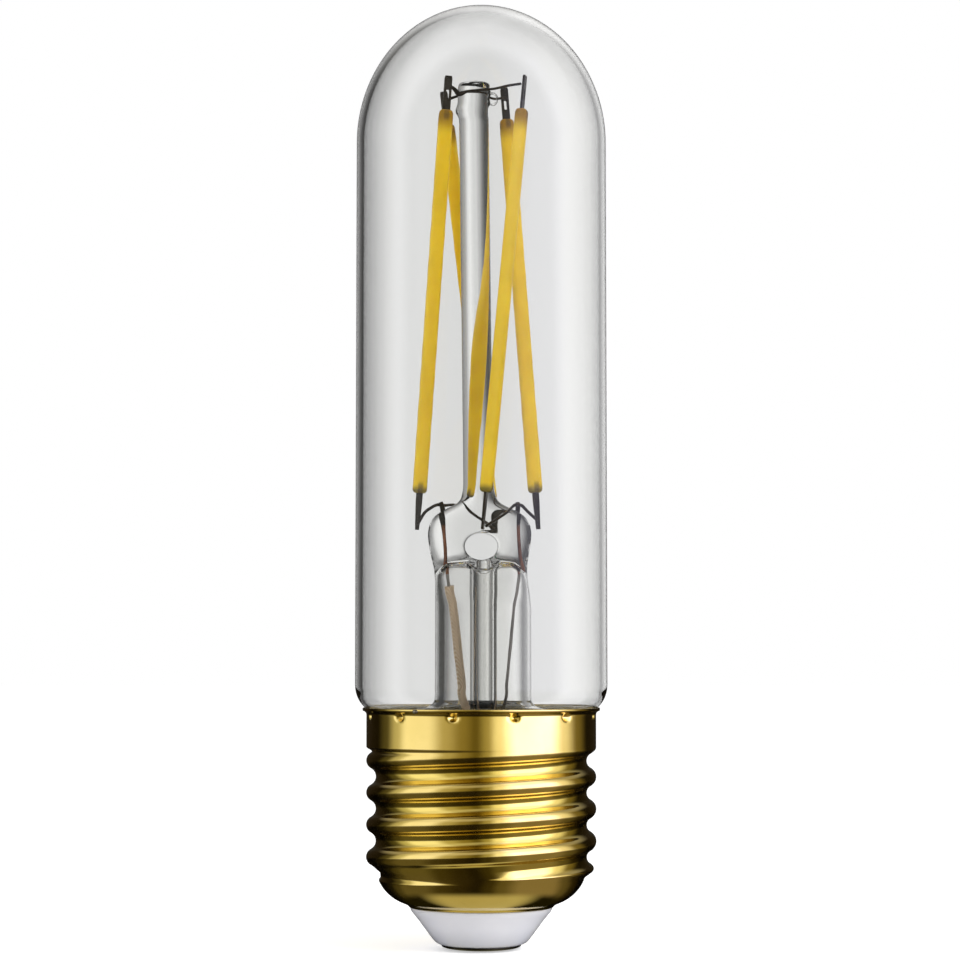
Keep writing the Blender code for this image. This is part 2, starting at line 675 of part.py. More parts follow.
def make_stem(parts, cutters):
    obj = smooth(place(loft("stem_glass", stem_rings()), parts, CLEAR_GLASS))
    bore = as_cutter(place(loft("stem_bore", bore_rings()), cutters))
    boolean(obj, bore, "DIFFERENCE")

    vent = rod_mesh("vent_hole", VENT_WIDTH / 2, PRESS_DEPTH + 2 * OVERRUN, 16)
    vent.data.transform(Matrix.Diagonal((1.0, VENT_LENGTH / VENT_WIDTH, 1.0, 1.0)))
    at_press = Matrix.Translation((stem_offset(VENT_HEIGHT), 0.0, VENT_HEIGHT))
    turn = Matrix.Rotation(math.pi / 2, 4, "X")
    as_cutter(place(vent, cutters, matrix=at_press @ turn))
    boolean(obj, vent, "DIFFERENCE")

    channel_length = VENT_HEIGHT - BORE_TOP + OVERRUN
    channel = rod_mesh("exhaust_channel", EXHAUST_BORE_DIAMETER / 2, channel_length, EXHAUST_SIDES)
    middle = (VENT_HEIGHT + BORE_TOP - OVERRUN) / 2
    as_cutter(place(channel, cutters, matrix=Matrix.Translation((stem_offset(middle), 0.0, middle))))
    boolean(obj, channel, "DIFFERENCE")

    for side, word in ((-1, "left"), (1, "right")):
        ends = [lead_place(side, LEAD_TOP + OVERRUN), lead_place(side, DUMET_END - OVERRUN)]
        hole = wire_curve(f"{word}_lead_channel", ends, WIRE_DIAMETER + 2 * WIRE_CLEARANCE)
        cutters.objects.link(hole)
        hole = as_cutter(baked(hole))
        boolean(obj, hole, "DIFFERENCE")

    head = ROD_TOP - EYE_DROP
    side = stem_offset(head) + HEAD_WAIST_DIAMETER / 2 + EYE_WIDTH / 4
    turns = [2 * math.pi * i / EYE_STEPS for i in range(EYE_STEPS)]
    ring = [(side + EYE_WIDTH / 2 * math.cos(t), 0.0, head + EYE_HEIGHT / 2 * math.sin(t)) for t in turns]
    eye = wire_curve("glass_eye", ring, EYE_THICKNESS)
    eye.data.splines[0].use_cyclic_u = True
    cutters.objects.link(eye)
    eye = as_cutter(baked(eye))
    boolean(obj, eye, "UNION")

    groove = wire_curve("bridge_groove", front_bridge_route(), WIRE_DIAMETER + 2 * WIRE_CLEARANCE)
    cutters.objects.link(groove)
    groove = as_cutter(baked(groove))
    boolean(obj, groove, "DIFFERENCE")


# Exhaust tube, drawn down and sealed off at its lower end


def exhaust_profile():
    outer = EXHAUST_DIAMETER / 2
    bore = EXHAUST_BORE_DIAMETER / 2
    sealed = EXHAUST_TIP + EXHAUST_SEAL
    turns = [math.pi / 2 * i / EXHAUST_STEPS for i in range(EXHAUST_STEPS + 1)]
    tip = [(outer * math.cos(t), sealed - EXHAUST_SEAL * math.sin(t)) for t in turns]
    tip[-1] = (0.0, EXHAUST_TIP)
    well = [(0.0, sealed), (bore * 0.8, sealed + bore / 2), (bore, sealed + bore)]
    return [*well, (bore, EXHAUST_TOP), (outer, EXHAUST_TOP), *tip]


def make_exhaust_tube(parts):
    obj = turned("exhaust_tube", exhaust_profile(), steps=EXHAUST_SIDES)
    place(obj, parts, CLEAR_GLASS, Matrix.Translation((TUBE_OFFSET, 0.0, 0.0)))


# Filament strips and the metal tabs at their ends


def strip_top(strip):
    x, y = strip.top_shares
    height = FILAMENT_TOP - strip.drop_share * TOP_TAB_LENGTH
    return Vector((x * CAGE_TOP_RADIUS, y * CAGE_TOP_RADIUS, height))


def strip_foot(strip):
    """Lower end of the strip, as far below its upper end as its length allows."""
    x, y = strip.foot_shares
    top = strip_top(strip)
    foot = Vector((x * CAGE_FOOT_RADIUS, y * CAGE_FOOT_RADIUS, 0.0))
    spread = math.hypot(foot.x - top.x, foot.y - top.y)
    foot.z = top.z - math.sqrt(FILAMENT_LENGTH**2 - spread**2)
    return foot


def strip_frame(strip, origin):
    """Matrix whose Z runs up the strip and whose -Y is the strip's flat side."""
    up = (strip_top(strip) - strip_foot(strip)).normalized()
    flat = Vector((math.sin(strip.facing), -math.cos(strip.facing), 0.0))
    across = up.cross(flat).normalized()
    back = up.cross(across)
    rotation = Matrix((across, back, up)).transposed().to_4x4()
    return Matrix.Translation(origin) @ rotation


def tab_outline(width, tip_width, length, taper):
    half = width / 2
    tip = tip_width / 2
    start = length - taper
    return [(-half, 0.0), (half, 0.0), (half, start), (tip, length), (-tip, length), (-half, start)]


def slot_outline():
    half = TAB_SLOT_WIDTH / 2
    low = TAB_SLOT_PLACE
    high = low + TAB_SLOT_LENGTH
    inset = half / 2
    return [
        (-half, low + inset),
        (-half, high - inset),
        (-inset, high),
        (inset, high),
        (half, high - inset),
        (half, low + inset),
        (inset, low),
        (-inset, low),
    ]


def make_filament(parts, strip):
    bar = rod_mesh(strip.name, FILAMENT_WIDTH / 2, FILAMENT_LENGTH, FILAMENT_SIDES)
    bar.data.transform(Matrix.Diagonal((1.0, FILAMENT_THICKNESS / FILAMENT_WIDTH, 1.0, 1.0)))
    middle = (strip_top(strip) + strip_foot(strip)) / 2
    place(smooth(bar), parts, PHOSPHOR, strip_frame(strip, middle))
    bevelled(bar, FILAMENT_ROUNDING)

    outward = Matrix.Rotation(math.pi / 2, 4, "X")
    top_outline = tab_outline(TOP_TAB_WIDTH, TOP_TAB_TIP_WIDTH, TOP_TAB_LENGTH, TOP_TAB_TAPER)
    top = flat_curve(f"{strip.name}_top_tab", [top_outline, slot_outline()], TAB_THICKNESS)
    place(top, parts, TAB_METAL, strip_frame(strip, strip_top(strip)) @ outward)
    foot_outline = tab_outline(FOOT_TAB_WIDTH, FOOT_TAB_TIP_WIDTH, FOOT_TAB_LENGTH, FOOT_TAB_TAPER)
    foot = flat_curve(f"{strip.name}_foot_tab", [foot_outline], TAB_THICKNESS)
    inward = Matrix.Rotation(-math.pi / 2, 4, "X")
    place(foot, parts, TAB_METAL, strip_frame(strip, strip_foot(strip)) @ inward)


def tab_point(strip, end, reach, side):
    """A point beside a tab: reach along it, and side -1 in front of its flat face or 1 behind."""
    standoff = TAB_THICKNESS / 2 + WIRE_RADIUS + WIRE_CLEARANCE
    origin = strip_top(strip) if end == "top" else strip_foot(strip)
    along = reach if end == "top" else -reach
    return strip_frame(strip, origin) @ Vector((0.0, side * standoff, along))


# Cross wires and lead-in wires


def head_side_point(turn, height, extra=0.0):
    """A point against the head of the rod, at an angle from +X."""
    radius = HEAD_WAIST_DIAMETER / 2 + extra
    return Vector((stem_offset(height) + radius * math.cos(turn), radius * math.sin(turn), height))


def front_bridge_route():
    """Across the front of the head, from the first strip's tab to the fourth's."""
    height = head_wire_height()
    start = tab_point(STRIPS[0], "top", TOP_TAB_LENGTH * 0.75, 1)
    end = tab_point(STRIPS[3], "top", TOP_TAB_LENGTH * 0.75, 1)
    left = head_side_point(math.radians(212), height - WIRE_RADIUS, WIRE_RADIUS)
    front = head_side_point(math.radians(268), height)
    right = head_side_point(math.radians(325), height + WIRE_RADIUS, WIRE_RADIUS)
    return smooth_route([start, left, front, right, end])


def back_bridge_route():
    """Round the back of the head, from the second strip's tab to the third's."""
    height = head_wire_height() - WIRE_DIAMETER
    start = tab_point(STRIPS[1], "top", TOP_TAB_LENGTH * 0.7, -1)
    end = tab_point(STRIPS[2], "top", TOP_TAB_LENGTH * 0.62, -1)
    gap = WIRE_RADIUS + WIRE_CLEARANCE
    left = head_side_point(math.radians(140), height, gap + WIRE_DIAMETER)
    back = head_side_point(math.radians(90), height, gap + WIRE_DIAMETER / 2)
    right = head_side_point(math.radians(35), height - WIRE_DIAMETER / 2, gap + WIRE_DIAMETER)
    return smooth_route([start, left, back, right, end])


def lead_hook_point(side, turn, height):
    """A point on a small loop that a cross wire takes round its lead-in wire."""
    radius = WIRE_DIAMETER + 2 * WIRE_CLEARANCE
    middle = lead_place(side, height)
    return Vector((middle.x + radius * math.cos(turn), radius * math.sin(turn), height))


def left_cross_route():
    """From the first strip's foot, round the left lead-in wire, to the second strip's foot."""
    height = LEAD_TOP - WIRE_DIAMETER
    start = tab_point(STRIPS[0], "foot", FOOT_TAB_LENGTH * 0.9, 1)
    end = tab_point(STRIPS[1], "foot", FOOT_TAB_LENGTH * 0.86, -1)
    rise = between(start.z, height, 0.75)
    approach = Vector((between(start.x, lead_place(-1, height).x, 0.4), start.y, rise))
    loop = [lead_hook_point(-1, math.radians(turn), height) for turn in (150, 90, 40)]
    beyond = Vector((between(loop[-1].x, end.x, 0.35), between(loop[-1].y, end.y, 0.5), height))
    return smooth_route([start, approach, *loop, beyond, end])


def right_cross_route():
    """From the third strip's foot, round the right lead-in wire, to the fourth strip's foot."""
    height = LEAD_TOP - WIRE_DIAMETER
    start = tab_point(STRIPS[2], "foot", FOOT_TAB_LENGTH * 0.72, 1)
    end = tab_point(STRIPS[3], "foot", FOOT_TAB_LENGTH * 0.9, -1)
    rise = between(start.z, height, 0.6)
    approach = Vector((between(start.x, lead_place(1, height).x, 0.5), start.y, rise))
    loop = [lead_hook_point(1, math.radians(turn), height) for turn in (-30, -90, -140)]
    fall = between(height, end.z, 0.4)
    beyond = Vector((between(loop[-1].x, end.x, 0.3), between(loop[-1].y, end.y, 0.45), fall))
    return smooth_route([start, approach, *loop, beyond, end])


def board_point(shares, height):
    x, y = shares
    return Vector((x * BOARD_RADIUS, y * BOARD_RADIUS, height))


def board_route(start, throat_shares, hole_shares):
    """From the pinch down through the throat of the flare to a hole of the board."""
    x, y = throat_shares
    height = FLARE_BASE + FLARE_HEIGHT
    throat = Vector((stem_offset(height) + x * TUBE_BORE_RADIUS, y * TUBE_BORE_RADIUS, height))
    above = board_point(hole_shares, BOARD_TOP + LEAD_STUB)
    hole = board_point(hole_shares, BOARD_BASE - LEAD_STUB)
    return smooth_route([start, throat, throat.lerp(above, 0.4), above]) + [hole]


def left_lead_route():
    return board_route(lead_place(-1, DUMET_END), LEFT_LEAD_THROAT_SHARES, LEFT_LEAD_HOLE_SHARES)


def right_lead_route():
    return board_route(lead_place(1, DUMET_END), RIGHT_LEAD_THROAT_SHARES, RIGHT_LEAD_HOLE_SHARES)


def cut_at(points, height):
    """The part of a falling route that lies below a height, starting exactly there."""
    for i, (above, below) in enumerate(zip(points, points[1:])):
        if below.z < height <= above.z:
            share = (above.z - height) / (above.z - below.z)
            return [above.lerp(below, share), *points[i + 1 :]]
    return points


def between_heights(points, low, high):
    """The part of a falling route between two heights, ending exactly at both."""
    below_top = cut_at(points, high)
    rest = cut_at(below_top, low)
    return [*below_top[: len(below_top) - len(rest) + 1], rest[0]]


def make_wires(parts, cutters):
    routes = (
        ("front_bridge_wire", front_bridge_route(), NICKEL),
        ("back_bridge_wire", back_bridge_route(), NICKEL),
        ("left_cross_wire", left_cross_route(), NICKEL),
        ("right_cross_wire", right_cross_route(), NICKEL),
        ("left_sealing_wire", [lead_place(-1, LEAD_TOP), lead_place(-1, DUMET_END)], DUMET),
        ("right_sealing_wire", [lead_place(1, LEAD_TOP), lead_place(1, DUMET_END)], DUMET),
        ("left_outer_lead", left_lead_route(), COPPER),
        ("right_outer_lead", right_lead_route(), COPPER),
    )
    for name, route, finish in routes:
        place(wire_curve(name, route), parts, finish)

    inside = between_heights(left_lead_route(), SLEEVE_END, SLEEVE_TOP)
    sleeve = place(wire_curve("insulating_sleeve", inside, SLEEVE_DIAMETER), parts, SLEEVING)
    sleeve = baked(sleeve)
    bore = wire_curve("sleeve_bore", left_lead_route(), WIRE_DIAMETER + 2 * WIRE_CLEARANCE)
    cutters.objects.link(bore)
    bore = as_cutter(baked(bore))
    boolean(sleeve, bore, "DIFFERENCE")


# Screw cap shell, rolled from thin brass


def thread_drop(angle, height):
    """How far the rolled thread lies below its crest radius, a right-hand thread of tangent arcs."""
    phase = (height - THREAD_CREST_HEIGHT) / THREAD_PITCH - angle / (2 * math.pi)
    from_crest = abs(phase - round(phase)) * THREAD_PITCH
    half_pitch = THREAD_PITCH / 2
    centres_apart = math.sqrt((2 * THREAD_ARC) ** 2 - half_pitch**2)
    if from_crest <= half_pitch / 2:
        drop = THREAD_ARC - math.sqrt(THREAD_ARC**2 - from_crest**2)
    else:
        drop = THREAD_ARC - centres_apart + math.sqrt(THREAD_ARC**2 - (half_pitch - from_crest) ** 2)
    return drop * thread_presence(height)


def thread_presence(height):
    """Share of the thread's full depth at a height: it runs in at the top and out at the bottom."""
    entry = ease((THREAD_TOP - height) / THREAD_RUN_IN)
    leaving = ease((height - KNEE_TOP + KNEE_RADIUS) / THREAD_RUN_OUT)
    return entry * leaving


def bowl_profile():
    """Rounded lower end of the shell, from the thread to the lip round the insulator."""
    knee = arc((CAP_RADIUS - KNEE_RADIUS, KNEE_TOP), KNEE_RADIUS, 0.0, -CONE_ANGLE, BOWL_STEPS)
    lip_centre = (LIP_CENTRE_RADIUS, LIP_CENTRE_HEIGHT)
    lip = arc(lip_centre, LIP_RADIUS, -CONE_ANGLE, -LIP_ANGLE, BOWL_STEPS)
    return [*knee, *lip]


def shell_profile():
    band_base = CAP_TOP - RIM_BAND
    blend_base = band_base - RIM_BLEND
    half_wall = CAP_WALL / 2
    rim = [(RIM_RADIUS - half_wall, CAP_TOP), (RIM_RADIUS, CAP_TOP - half_wall), (RIM_RADIUS, band_base)]
    blend = [((RIM_RADIUS + CAP_RADIUS) / 2, (band_base + blend_base) / 2), (CAP_RADIUS, blend_base)]
    row = THREAD_PITCH / ROWS_PER_PITCH
    rows = math.ceil((THREAD_TOP - KNEE_TOP) / row)
    thread = [(CAP_RADIUS, between(THREAD_TOP, KNEE_TOP, i / rows)) for i in range(rows)]
    return [*rim, *blend, *thread, *bowl_profile()]


def roll_thread(obj):
    for vertex in obj.data.vertices:
        radius = math.hypot(vertex.co.x, vertex.co.y)
        drop = thread_drop(math.atan2(vertex.co.y, vertex.co.x), vertex.co.z)
        vertex.co.x *= (radius - drop) / radius
        vertex.co.y *= (radius - drop) / radius


def crimp_tools(name, mouth, tip, outer, inner, cutters):
    """One ring of tapered punches pointing at the axis, from radius outer to radius inner."""
    bm = bmesh.new()
    for i in range(CRIMP_COUNT):
        turn = 2 * math.pi * (i + 0.5) / CRIMP_COUNT
        along = Matrix.Rotation(turn, 4, "Z") @ Matrix.Rotation(-math.pi / 2, 4, "Y")
        reach = Matrix.Translation((0.0, 0.0, -(outer + inner) / 2))
        bmesh.ops.create_cone(
            bm,
            cap_ends=True,
            segments=CRIMP_SIDES,
            radius1=mouth / 2,
            radius2=tip / 2,
            depth=outer - inner,
            matrix=Matrix.Translation((0.0, 0.0, CRIMP_HEIGHT)) @ along @ reach,
        )
    return as_cutter(place(mesh_object(name, bm), cutters))


def make_shell(parts, cutters):
    obj = baked(place(turned("screw_shell", shell_profile()), parts, BRASS))
    roll_thread(obj)
    thickened(obj, CAP_WALL)

    pit_floor = CAP_RADIUS - CRIMP_DEPTH
    slope = (CRIMP_MOUTH_DIAMETER - CRIMP_TIP_DIAMETER) / CRIMP_DEPTH
    wide = CRIMP_MOUTH_DIAMETER + 2 * CAP_WALL
    narrow = CRIMP_TIP_DIAMETER + 2 * CAP_WALL
    seat = CAP_RADIUS - CAP_WALL / 2
    bumps = crimp_tools("crimp_bumps", wide, narrow, seat, pit_floor - CAP_WALL, cutters)
    boolean(obj, bumps, "UNION")
    reach = CAP_RADIUS + CLEARANCE
    mouth = CRIMP_MOUTH_DIAMETER + slope * CLEARANCE
    pits = crimp_tools("crimp_pits", mouth, CRIMP_TIP_DIAMETER, reach, pit_floor, cutters)
    boolean(obj, pits, "DIFFERENCE")

    notch_reach = RIM_RADIUS - CAP_RADIUS + CAP_WALL + OVERRUN
    notch = box_mesh("side_lead_notch", notch_reach, SIDE_NOTCH_WIDTH, SIDE_NOTCH_DEPTH + OVERRUN)
    middle = CAP_RADIUS - CAP_WALL + notch_reach / 2 - OVERRUN / 2
    along = Matrix.Rotation(SIDE_LEAD_ANGLE, 4, "Z")
    at_rim = Matrix.Translation((middle, 0.0, CAP_TOP - SIDE_NOTCH_DEPTH))
    as_cutter(place(notch, cutters, matrix=along @ at_rim))
    boolean(obj, notch, "DIFFERENCE")


# Insulator, moulded in the lower end of the shell


def shell_inner_radius(height):
    """Narrowest inside radius of the shell at a height, at the root of its thread."""
    root_drop = THREAD_DEPTH * thread_presence(height)
    facet_share = math.cos(math.pi / TURNING_STEPS)
    profile = bowl_profile()
    for (high_radius, high), (low_radius, low) in zip(profile, profile[1:]):
        if low <= height <= high:
            radius = between(low_radius, high_radius, (height - low) / (high - low))
            slant_wall = CAP_WALL * math.hypot(high_radius - low_radius, high - low) / (high - low)
            return (radius - root_drop - slant_wall) * facet_share
    return (CAP_RADIUS - root_drop - CAP_WALL) * facet_share


def insulator_profile():
    """Section of the insulator: outer line from the top down, then the hollow back up."""
    waist = LIP_OPENING_RADIUS - CLEARANCE
    rim = shell_inner_radius(INSULATOR_TOP) - CLEARANCE
    lip_inside = LIP_HEIGHT + CAP_WALL + CLEARANCE
    flange_top = KNEE_TOP - KNEE_RADIUS * 0.6
    steps = range(INSULATOR_FLANGE_STEPS + 1)
    flange_heights = [between(flange_top, lip_inside + CLEARANCE, i / INSULATOR_FLANGE_STEPS) for i in steps]
    flange = [(min(rim, shell_inner_radius(z - CLEARANCE) - CLEARANCE), z) for z in flange_heights]
    contact = CONTACT_DIAMETER / 2
    foot_radius = between(contact, INSULATOR_FOOT_RADIUS, 0.5)
    foot = [
        (INSULATOR_FOOT_RADIUS, INSULATOR_FOOT_HEIGHT),
        (foot_radius, between(CONTACT_HEIGHT, INSULATOR_FOOT_HEIGHT, 0.3)),
        (contact, CONTACT_HEIGHT),
    ]
    outside = [
        (rim, INSULATOR_TOP),
        *flange,
        (waist, lip_inside),
        (waist, INSULATOR_SHOULDER_HEIGHT + CLEARANCE / 2),
        (LIP_OPENING_RADIUS, INSULATOR_SHOULDER_HEIGHT),
        *foot,
    ]
    hole = RIVET_HOLE_DIAMETER / 2
    inside = [
        (hole, CONTACT_HEIGHT),
        (hole, CONTACT_HEIGHT + INSULATOR_WALL),
        (INSULATOR_FOOT_RADIUS - INSULATOR_WALL / 2, CONTACT_HEIGHT + INSULATOR_WALL),
        (waist - INSULATOR_WALL, INSULATOR_SHOULDER_HEIGHT + INSULATOR_WALL / 2),
        (waist - INSULATOR_WALL, lip_inside + INSULATOR_WALL / 2),
        (rim - INSULATOR_RIM_WIDTH, KNEE_TOP - KNEE_RADIUS / 4),
        (rim - INSULATOR_RIM_WIDTH, INSULATOR_TOP),
    ]
    return [*outside, *inside, outside[0]]


def make_insulator(parts):
    place(turned("cap_insulator", insulator_profile(), steps=INSULATOR_SIDES), parts, WHITE_PLASTIC)


# Centre contact, a shallow domed cap on a hollow rivet


def contact_profile():
    rivet = RIVET_DIAMETER / 2
    bore = RIVET_BORE_DIAMETER / 2
    top = CONTACT_HEIGHT + RIVET_LENGTH
    edge = CONTACT_DIAMETER / 2
    flat = CONTACT_FLAT_DIAMETER / 2
    dome_height = CONTACT_HEIGHT - CONTACT_EDGE
    turns = [math.pi / 2 * i / CONTACT_STEPS for i in range(CONTACT_STEPS + 1)]
    dome = [(flat + (edge - flat) * math.cos(t), dome_height * (1.0 - math.sin(t))) for t in turns]
    dome[-1] = (flat, 0.0)
    well = [(0.0, CONTACT_HEIGHT), (bore, CONTACT_HEIGHT), (bore, top)]
    return [*well, (rivet, top), (rivet, CONTACT_HEIGHT), (edge, CONTACT_HEIGHT), *dome, (0.0, 0.0)]


def make_contact(parts):
    place(turned("centre_contact", contact_profile(), steps=CONTACT_SIDES), parts, DARK_STEEL)


# Driver board in the cap, and its components


def make_package(name, size, leg_count, shares, parts, cutters):
    """A moulded chip package with flat legs on its two long sides, standing on the board."""
    length, width, height = size
    body = box_mesh(name, length, width, height)
    at_board = Matrix.Translation(board_point(shares, BOARD_TOP))
    place(body, parts, BLACK_EPOXY, at_board)
    bevelled(body, PACKAGE_BEVEL, segments=1)
    bm = bmesh.new()
    span = width + 2 * LEG_REACH
    for i in range(leg_count):
        x = length * ((i + 0.5) / leg_count - 0.5)
        made = bmesh.ops.create_cube(bm, size=1.0)
        bmesh.ops.scale(bm, vec=(LEG_WIDTH, span, LEG_THICKNESS), verts=made["verts"])
        bmesh.ops.translate(bm, vec=(x, 0.0, LEG_THICKNESS / 2), verts=made["verts"])
    legs = as_cutter(place(mesh_object(f"{name}_legs", bm), cutters, matrix=at_board))
    boolean(body, legs, "UNION")


def make_capacitor(parts):
    radius = CAPACITOR_DIAMETER / 2
    neck = radius - CAPACITOR_CRIMP
    low = CAPACITOR_CRIMP_HEIGHT
    half = CAPACITOR_CRIMP
    profile = [
        (0.0, CAPACITOR_HEIGHT),
        (radius - CAPACITOR_ROUNDING, CAPACITOR_HEIGHT),
        (radius, CAPACITOR_HEIGHT - CAPACITOR_ROUNDING),
        (radius, low + half),
        (neck, low),
        (radius, low - half),
        (radius, CAPACITOR_ROUNDING / 2),
        (radius - CAPACITOR_ROUNDING / 2, 0.0),
        (0.0, 0.0),
    ]
    at_board = Matrix.Translation(board_point(CAPACITOR_PLACE_SHARES, BOARD_TOP))
    place(turned("smoothing_capacitor", profile, steps=CAPACITOR_SIDES), parts, CAPACITOR_BLUE, at_board)


def resistor_place():
    """Middle of the resistor, which starts just beside the lead to the rim."""
    start = side_lead_hole().x + SIDE_LEAD_DIAMETER / 2 + CLEARANCE
    height = BOARD_TOP + RESISTOR_LIFT + RESISTOR_DIAMETER / 2
    return Vector((start + RESISTOR_LENGTH / 2, RESISTOR_PLACE_SHARE * BOARD_RADIUS, height))


def make_resistor(parts, cutters):
    half = RESISTOR_LENGTH / 2
    end = RESISTOR_DIAMETER / 2
    waist = RESISTOR_WAIST_DIAMETER / 2
    inset = half - RESISTOR_CAP_LENGTH
    profile = [(0.0, half), (end * 0.7, half), (end, half - end / 3), (end, inset), (waist, inset - end / 3)]
    profile += [(radius, -height) for radius, height in reversed(profile)]
    centre = resistor_place()
    across = Matrix.Translation(centre) @ Matrix.Rotation(math.pi / 2, 4, "Y")
    body = place(turned("fusible_resistor", profile, steps=RESISTOR_SIDES), parts, RESISTOR_GREEN, across)
    body = baked(body)
    reach = half + RESISTOR_LEAD_REACH
    drop = BOARD_BASE - LEAD_STUB - centre.z
    bend = RESISTOR_LEAD_REACH / 2
    route = [(-reach, 0.0, drop), (-reach, 0.0, -bend), (-reach + bend, 0.0, 0.0)]
    route += [(-x, y, z) for x, y, z in reversed(route)]
    lead = wire_curve("resistor_lead", [centre + Vector(point) for point in route])
    cutters.objects.link(lead)
    lead = as_cutter(baked(lead))
    boolean(body, lead, "UNION")
    return [Vector((centre.x + side * reach, centre.y, 0.0)) for side in (-1, 1)]


def side_lead_hole():
    radius = BOARD_RADIUS * SIDE_LEAD_HOLE_RADIUS_SHARE
    return Vector((radius * math.cos(SIDE_LEAD_ANGLE), radius * math.sin(SIDE_LEAD_ANGLE), 0.0))


def make_board(parts, cutters, more_holes):
    board = rod_mesh("driver_board", BOARD_RADIUS, BOARD_THICKNESS, TURNING_STEPS)
    place(board, parts, BOARD_GREEN, Matrix.Translation((0.0, 0.0, BOARD_BASE + BOARD_THICKNESS / 2)))
    bm = bmesh.new()
    shares = (LEFT_LEAD_HOLE_SHARES, RIGHT_LEAD_HOLE_SHARES, CONTACT_LEAD_HOLE_SHARES)
    holes = [board_point(pair, 0.0) for pair in shares]
    for hole in [*holes, side_lead_hole(), *more_holes]:
        bmesh.ops.create_cone(
            bm,
            cap_ends=True,
            segments=8,
            radius1=PAD_HOLE_DIAMETER / 2,
            radius2=PAD_HOLE_DIAMETER / 2,
            depth=BOARD_THICKNESS + 2 * OVERRUN,
            matrix=Matrix.Translation((hole.x, hole.y, BOARD_BASE + BOARD_THICKNESS / 2)),
        )
    pads = as_cutter(place(mesh_object("board_holes", bm), cutters))
    boolean(board, pads, "DIFFERENCE")


def make_contact_lead(parts):
    above = board_point(CONTACT_LEAD_HOLE_SHARES, BOARD_TOP + LEAD_STUB)
    below = board_point(CONTACT_LEAD_HOLE_SHARES, BOARD_BASE - LEAD_STUB)
    inside = Vector((0.0, 0.0, CONTACT_HEIGHT + RIVET_LENGTH))
    end = Vector((0.0, 0.0, CONTACT_HEIGHT + CLEARANCE))
    middle = (below + inside) / 2
    place(wire_curve("contact_lead", [above, below, middle, inside, end]), parts, COPPER)


def make_side_lead(parts, cutters):
    """Thin lead from the board up between neck and shell, soldered in a notch of the rim."""
    turn = Matrix.Rotation(SIDE_LEAD_ANGLE, 4, "Z")
    hole = side_lead_hole().length
    channel = (NECK_RADIUS + CAP_RADIUS - CAP_WALL) / 2
    under_neck = NECK_END - CLEARANCE - SIDE_LEAD_DIAMETER
    rim = CAP_TOP - SIDE_NOTCH_DEPTH / 2
    stations = (
        (hole, BOARD_BASE - LEAD_STUB),
        (hole, BOARD_TOP + LEAD_STUB),
        (between(hole, NECK_RADIUS, 0.3), between(BOARD_TOP, under_neck, 0.5)),
        (NECK_RADIUS, under_neck),
        (channel, NECK_END),
        (channel, rim - SIDE_LEAD_DIAMETER),
        (between(channel, RIM_RADIUS, 0.5), rim),
        (RIM_RADIUS, rim),
    )
    route = [turn @ Vector((radius, 0.0, height)) for radius, height in stations]
    lead = baked(place(wire_curve("side_lead", route, SIDE_LEAD_DIAMETER), parts, COPPER))
    bm = bmesh.new()
    bmesh.ops.create_uvsphere(bm, u_segments=10, v_segments=6, radius=SOLDER_DIAMETER / 2)
    drop = place(mesh_object("rim_solder", bm), cutters)
    drop.data.transform(Matrix.Diagonal((0.5, 0.9, 0.6, 1.0)))
    drop.matrix_world = turn @ Matrix.Translation((RIM_RADIUS, 0.0, rim))
    boolean(lead, as_cutter(drop), "UNION")


def main():
    clear_scene()
    parts = new_collection("led_filament_bulb")
    cutters = new_collection("cutters")
    make_envelope(parts)
    make_stem(parts, cutters)
    make_exhaust_tube(parts)
    for strip in STRIPS:
        make_filament(parts, strip)
    make_wires(parts, cutters)
    make_shell(parts, cutters)
    make_insulator(parts)
    make_contact(parts)
    make_capacitor(parts)
    make_package("bridge_rectifier", RECTIFIER_SIZE, 2, RECTIFIER_PLACE_SHARES, parts, cutters)
    make_package("driver_chip", CHIP_SIZE, 4, CHIP_PLACE_SHARES, parts, cutters)
    resistor_holes = make_resistor(parts, cutters)
    make_board(parts, cutters, resistor_holes)
    make_contact_lead(parts)
    make_side_lead(parts, cutters)


main()
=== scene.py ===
"""Clear tubular LED filament bulb with a brass screw cap, standing on a pale floor."""

import math

import bmesh
import bpy
import numpy as np
from mathutils import Matrix, Vector


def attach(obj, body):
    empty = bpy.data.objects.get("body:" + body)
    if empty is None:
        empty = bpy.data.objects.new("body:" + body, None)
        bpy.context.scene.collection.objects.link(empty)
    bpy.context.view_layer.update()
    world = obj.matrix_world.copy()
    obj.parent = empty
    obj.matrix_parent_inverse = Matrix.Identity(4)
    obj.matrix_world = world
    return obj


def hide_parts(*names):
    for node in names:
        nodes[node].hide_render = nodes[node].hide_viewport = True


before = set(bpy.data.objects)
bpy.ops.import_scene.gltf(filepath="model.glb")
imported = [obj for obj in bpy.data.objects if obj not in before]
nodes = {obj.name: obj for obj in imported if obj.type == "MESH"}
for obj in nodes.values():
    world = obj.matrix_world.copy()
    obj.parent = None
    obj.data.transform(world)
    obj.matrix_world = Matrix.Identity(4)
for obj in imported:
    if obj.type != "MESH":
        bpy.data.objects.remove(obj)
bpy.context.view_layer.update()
scene = bpy.context.scene
MM = 0.001


# Studio: white sweep, two soft lamps and the camera. The background is white for the camera and
# through glass; metal sees tall soft boxes at both sides with warm dark gaps between them.
# The pieces' lengths are in mm and become metres through MM; the floor and lamps are in metres.
CAMERA_DISTANCE = 300 * MM
CAMERA_HEIGHT = 32.57 * MM
CAMERA_SIDE = -0.14 * MM
CAMERA_PITCH = 3.92
FOCAL_LENGTH = 98.55
SENSOR_WIDTH = 36
NEAREST = 0.01

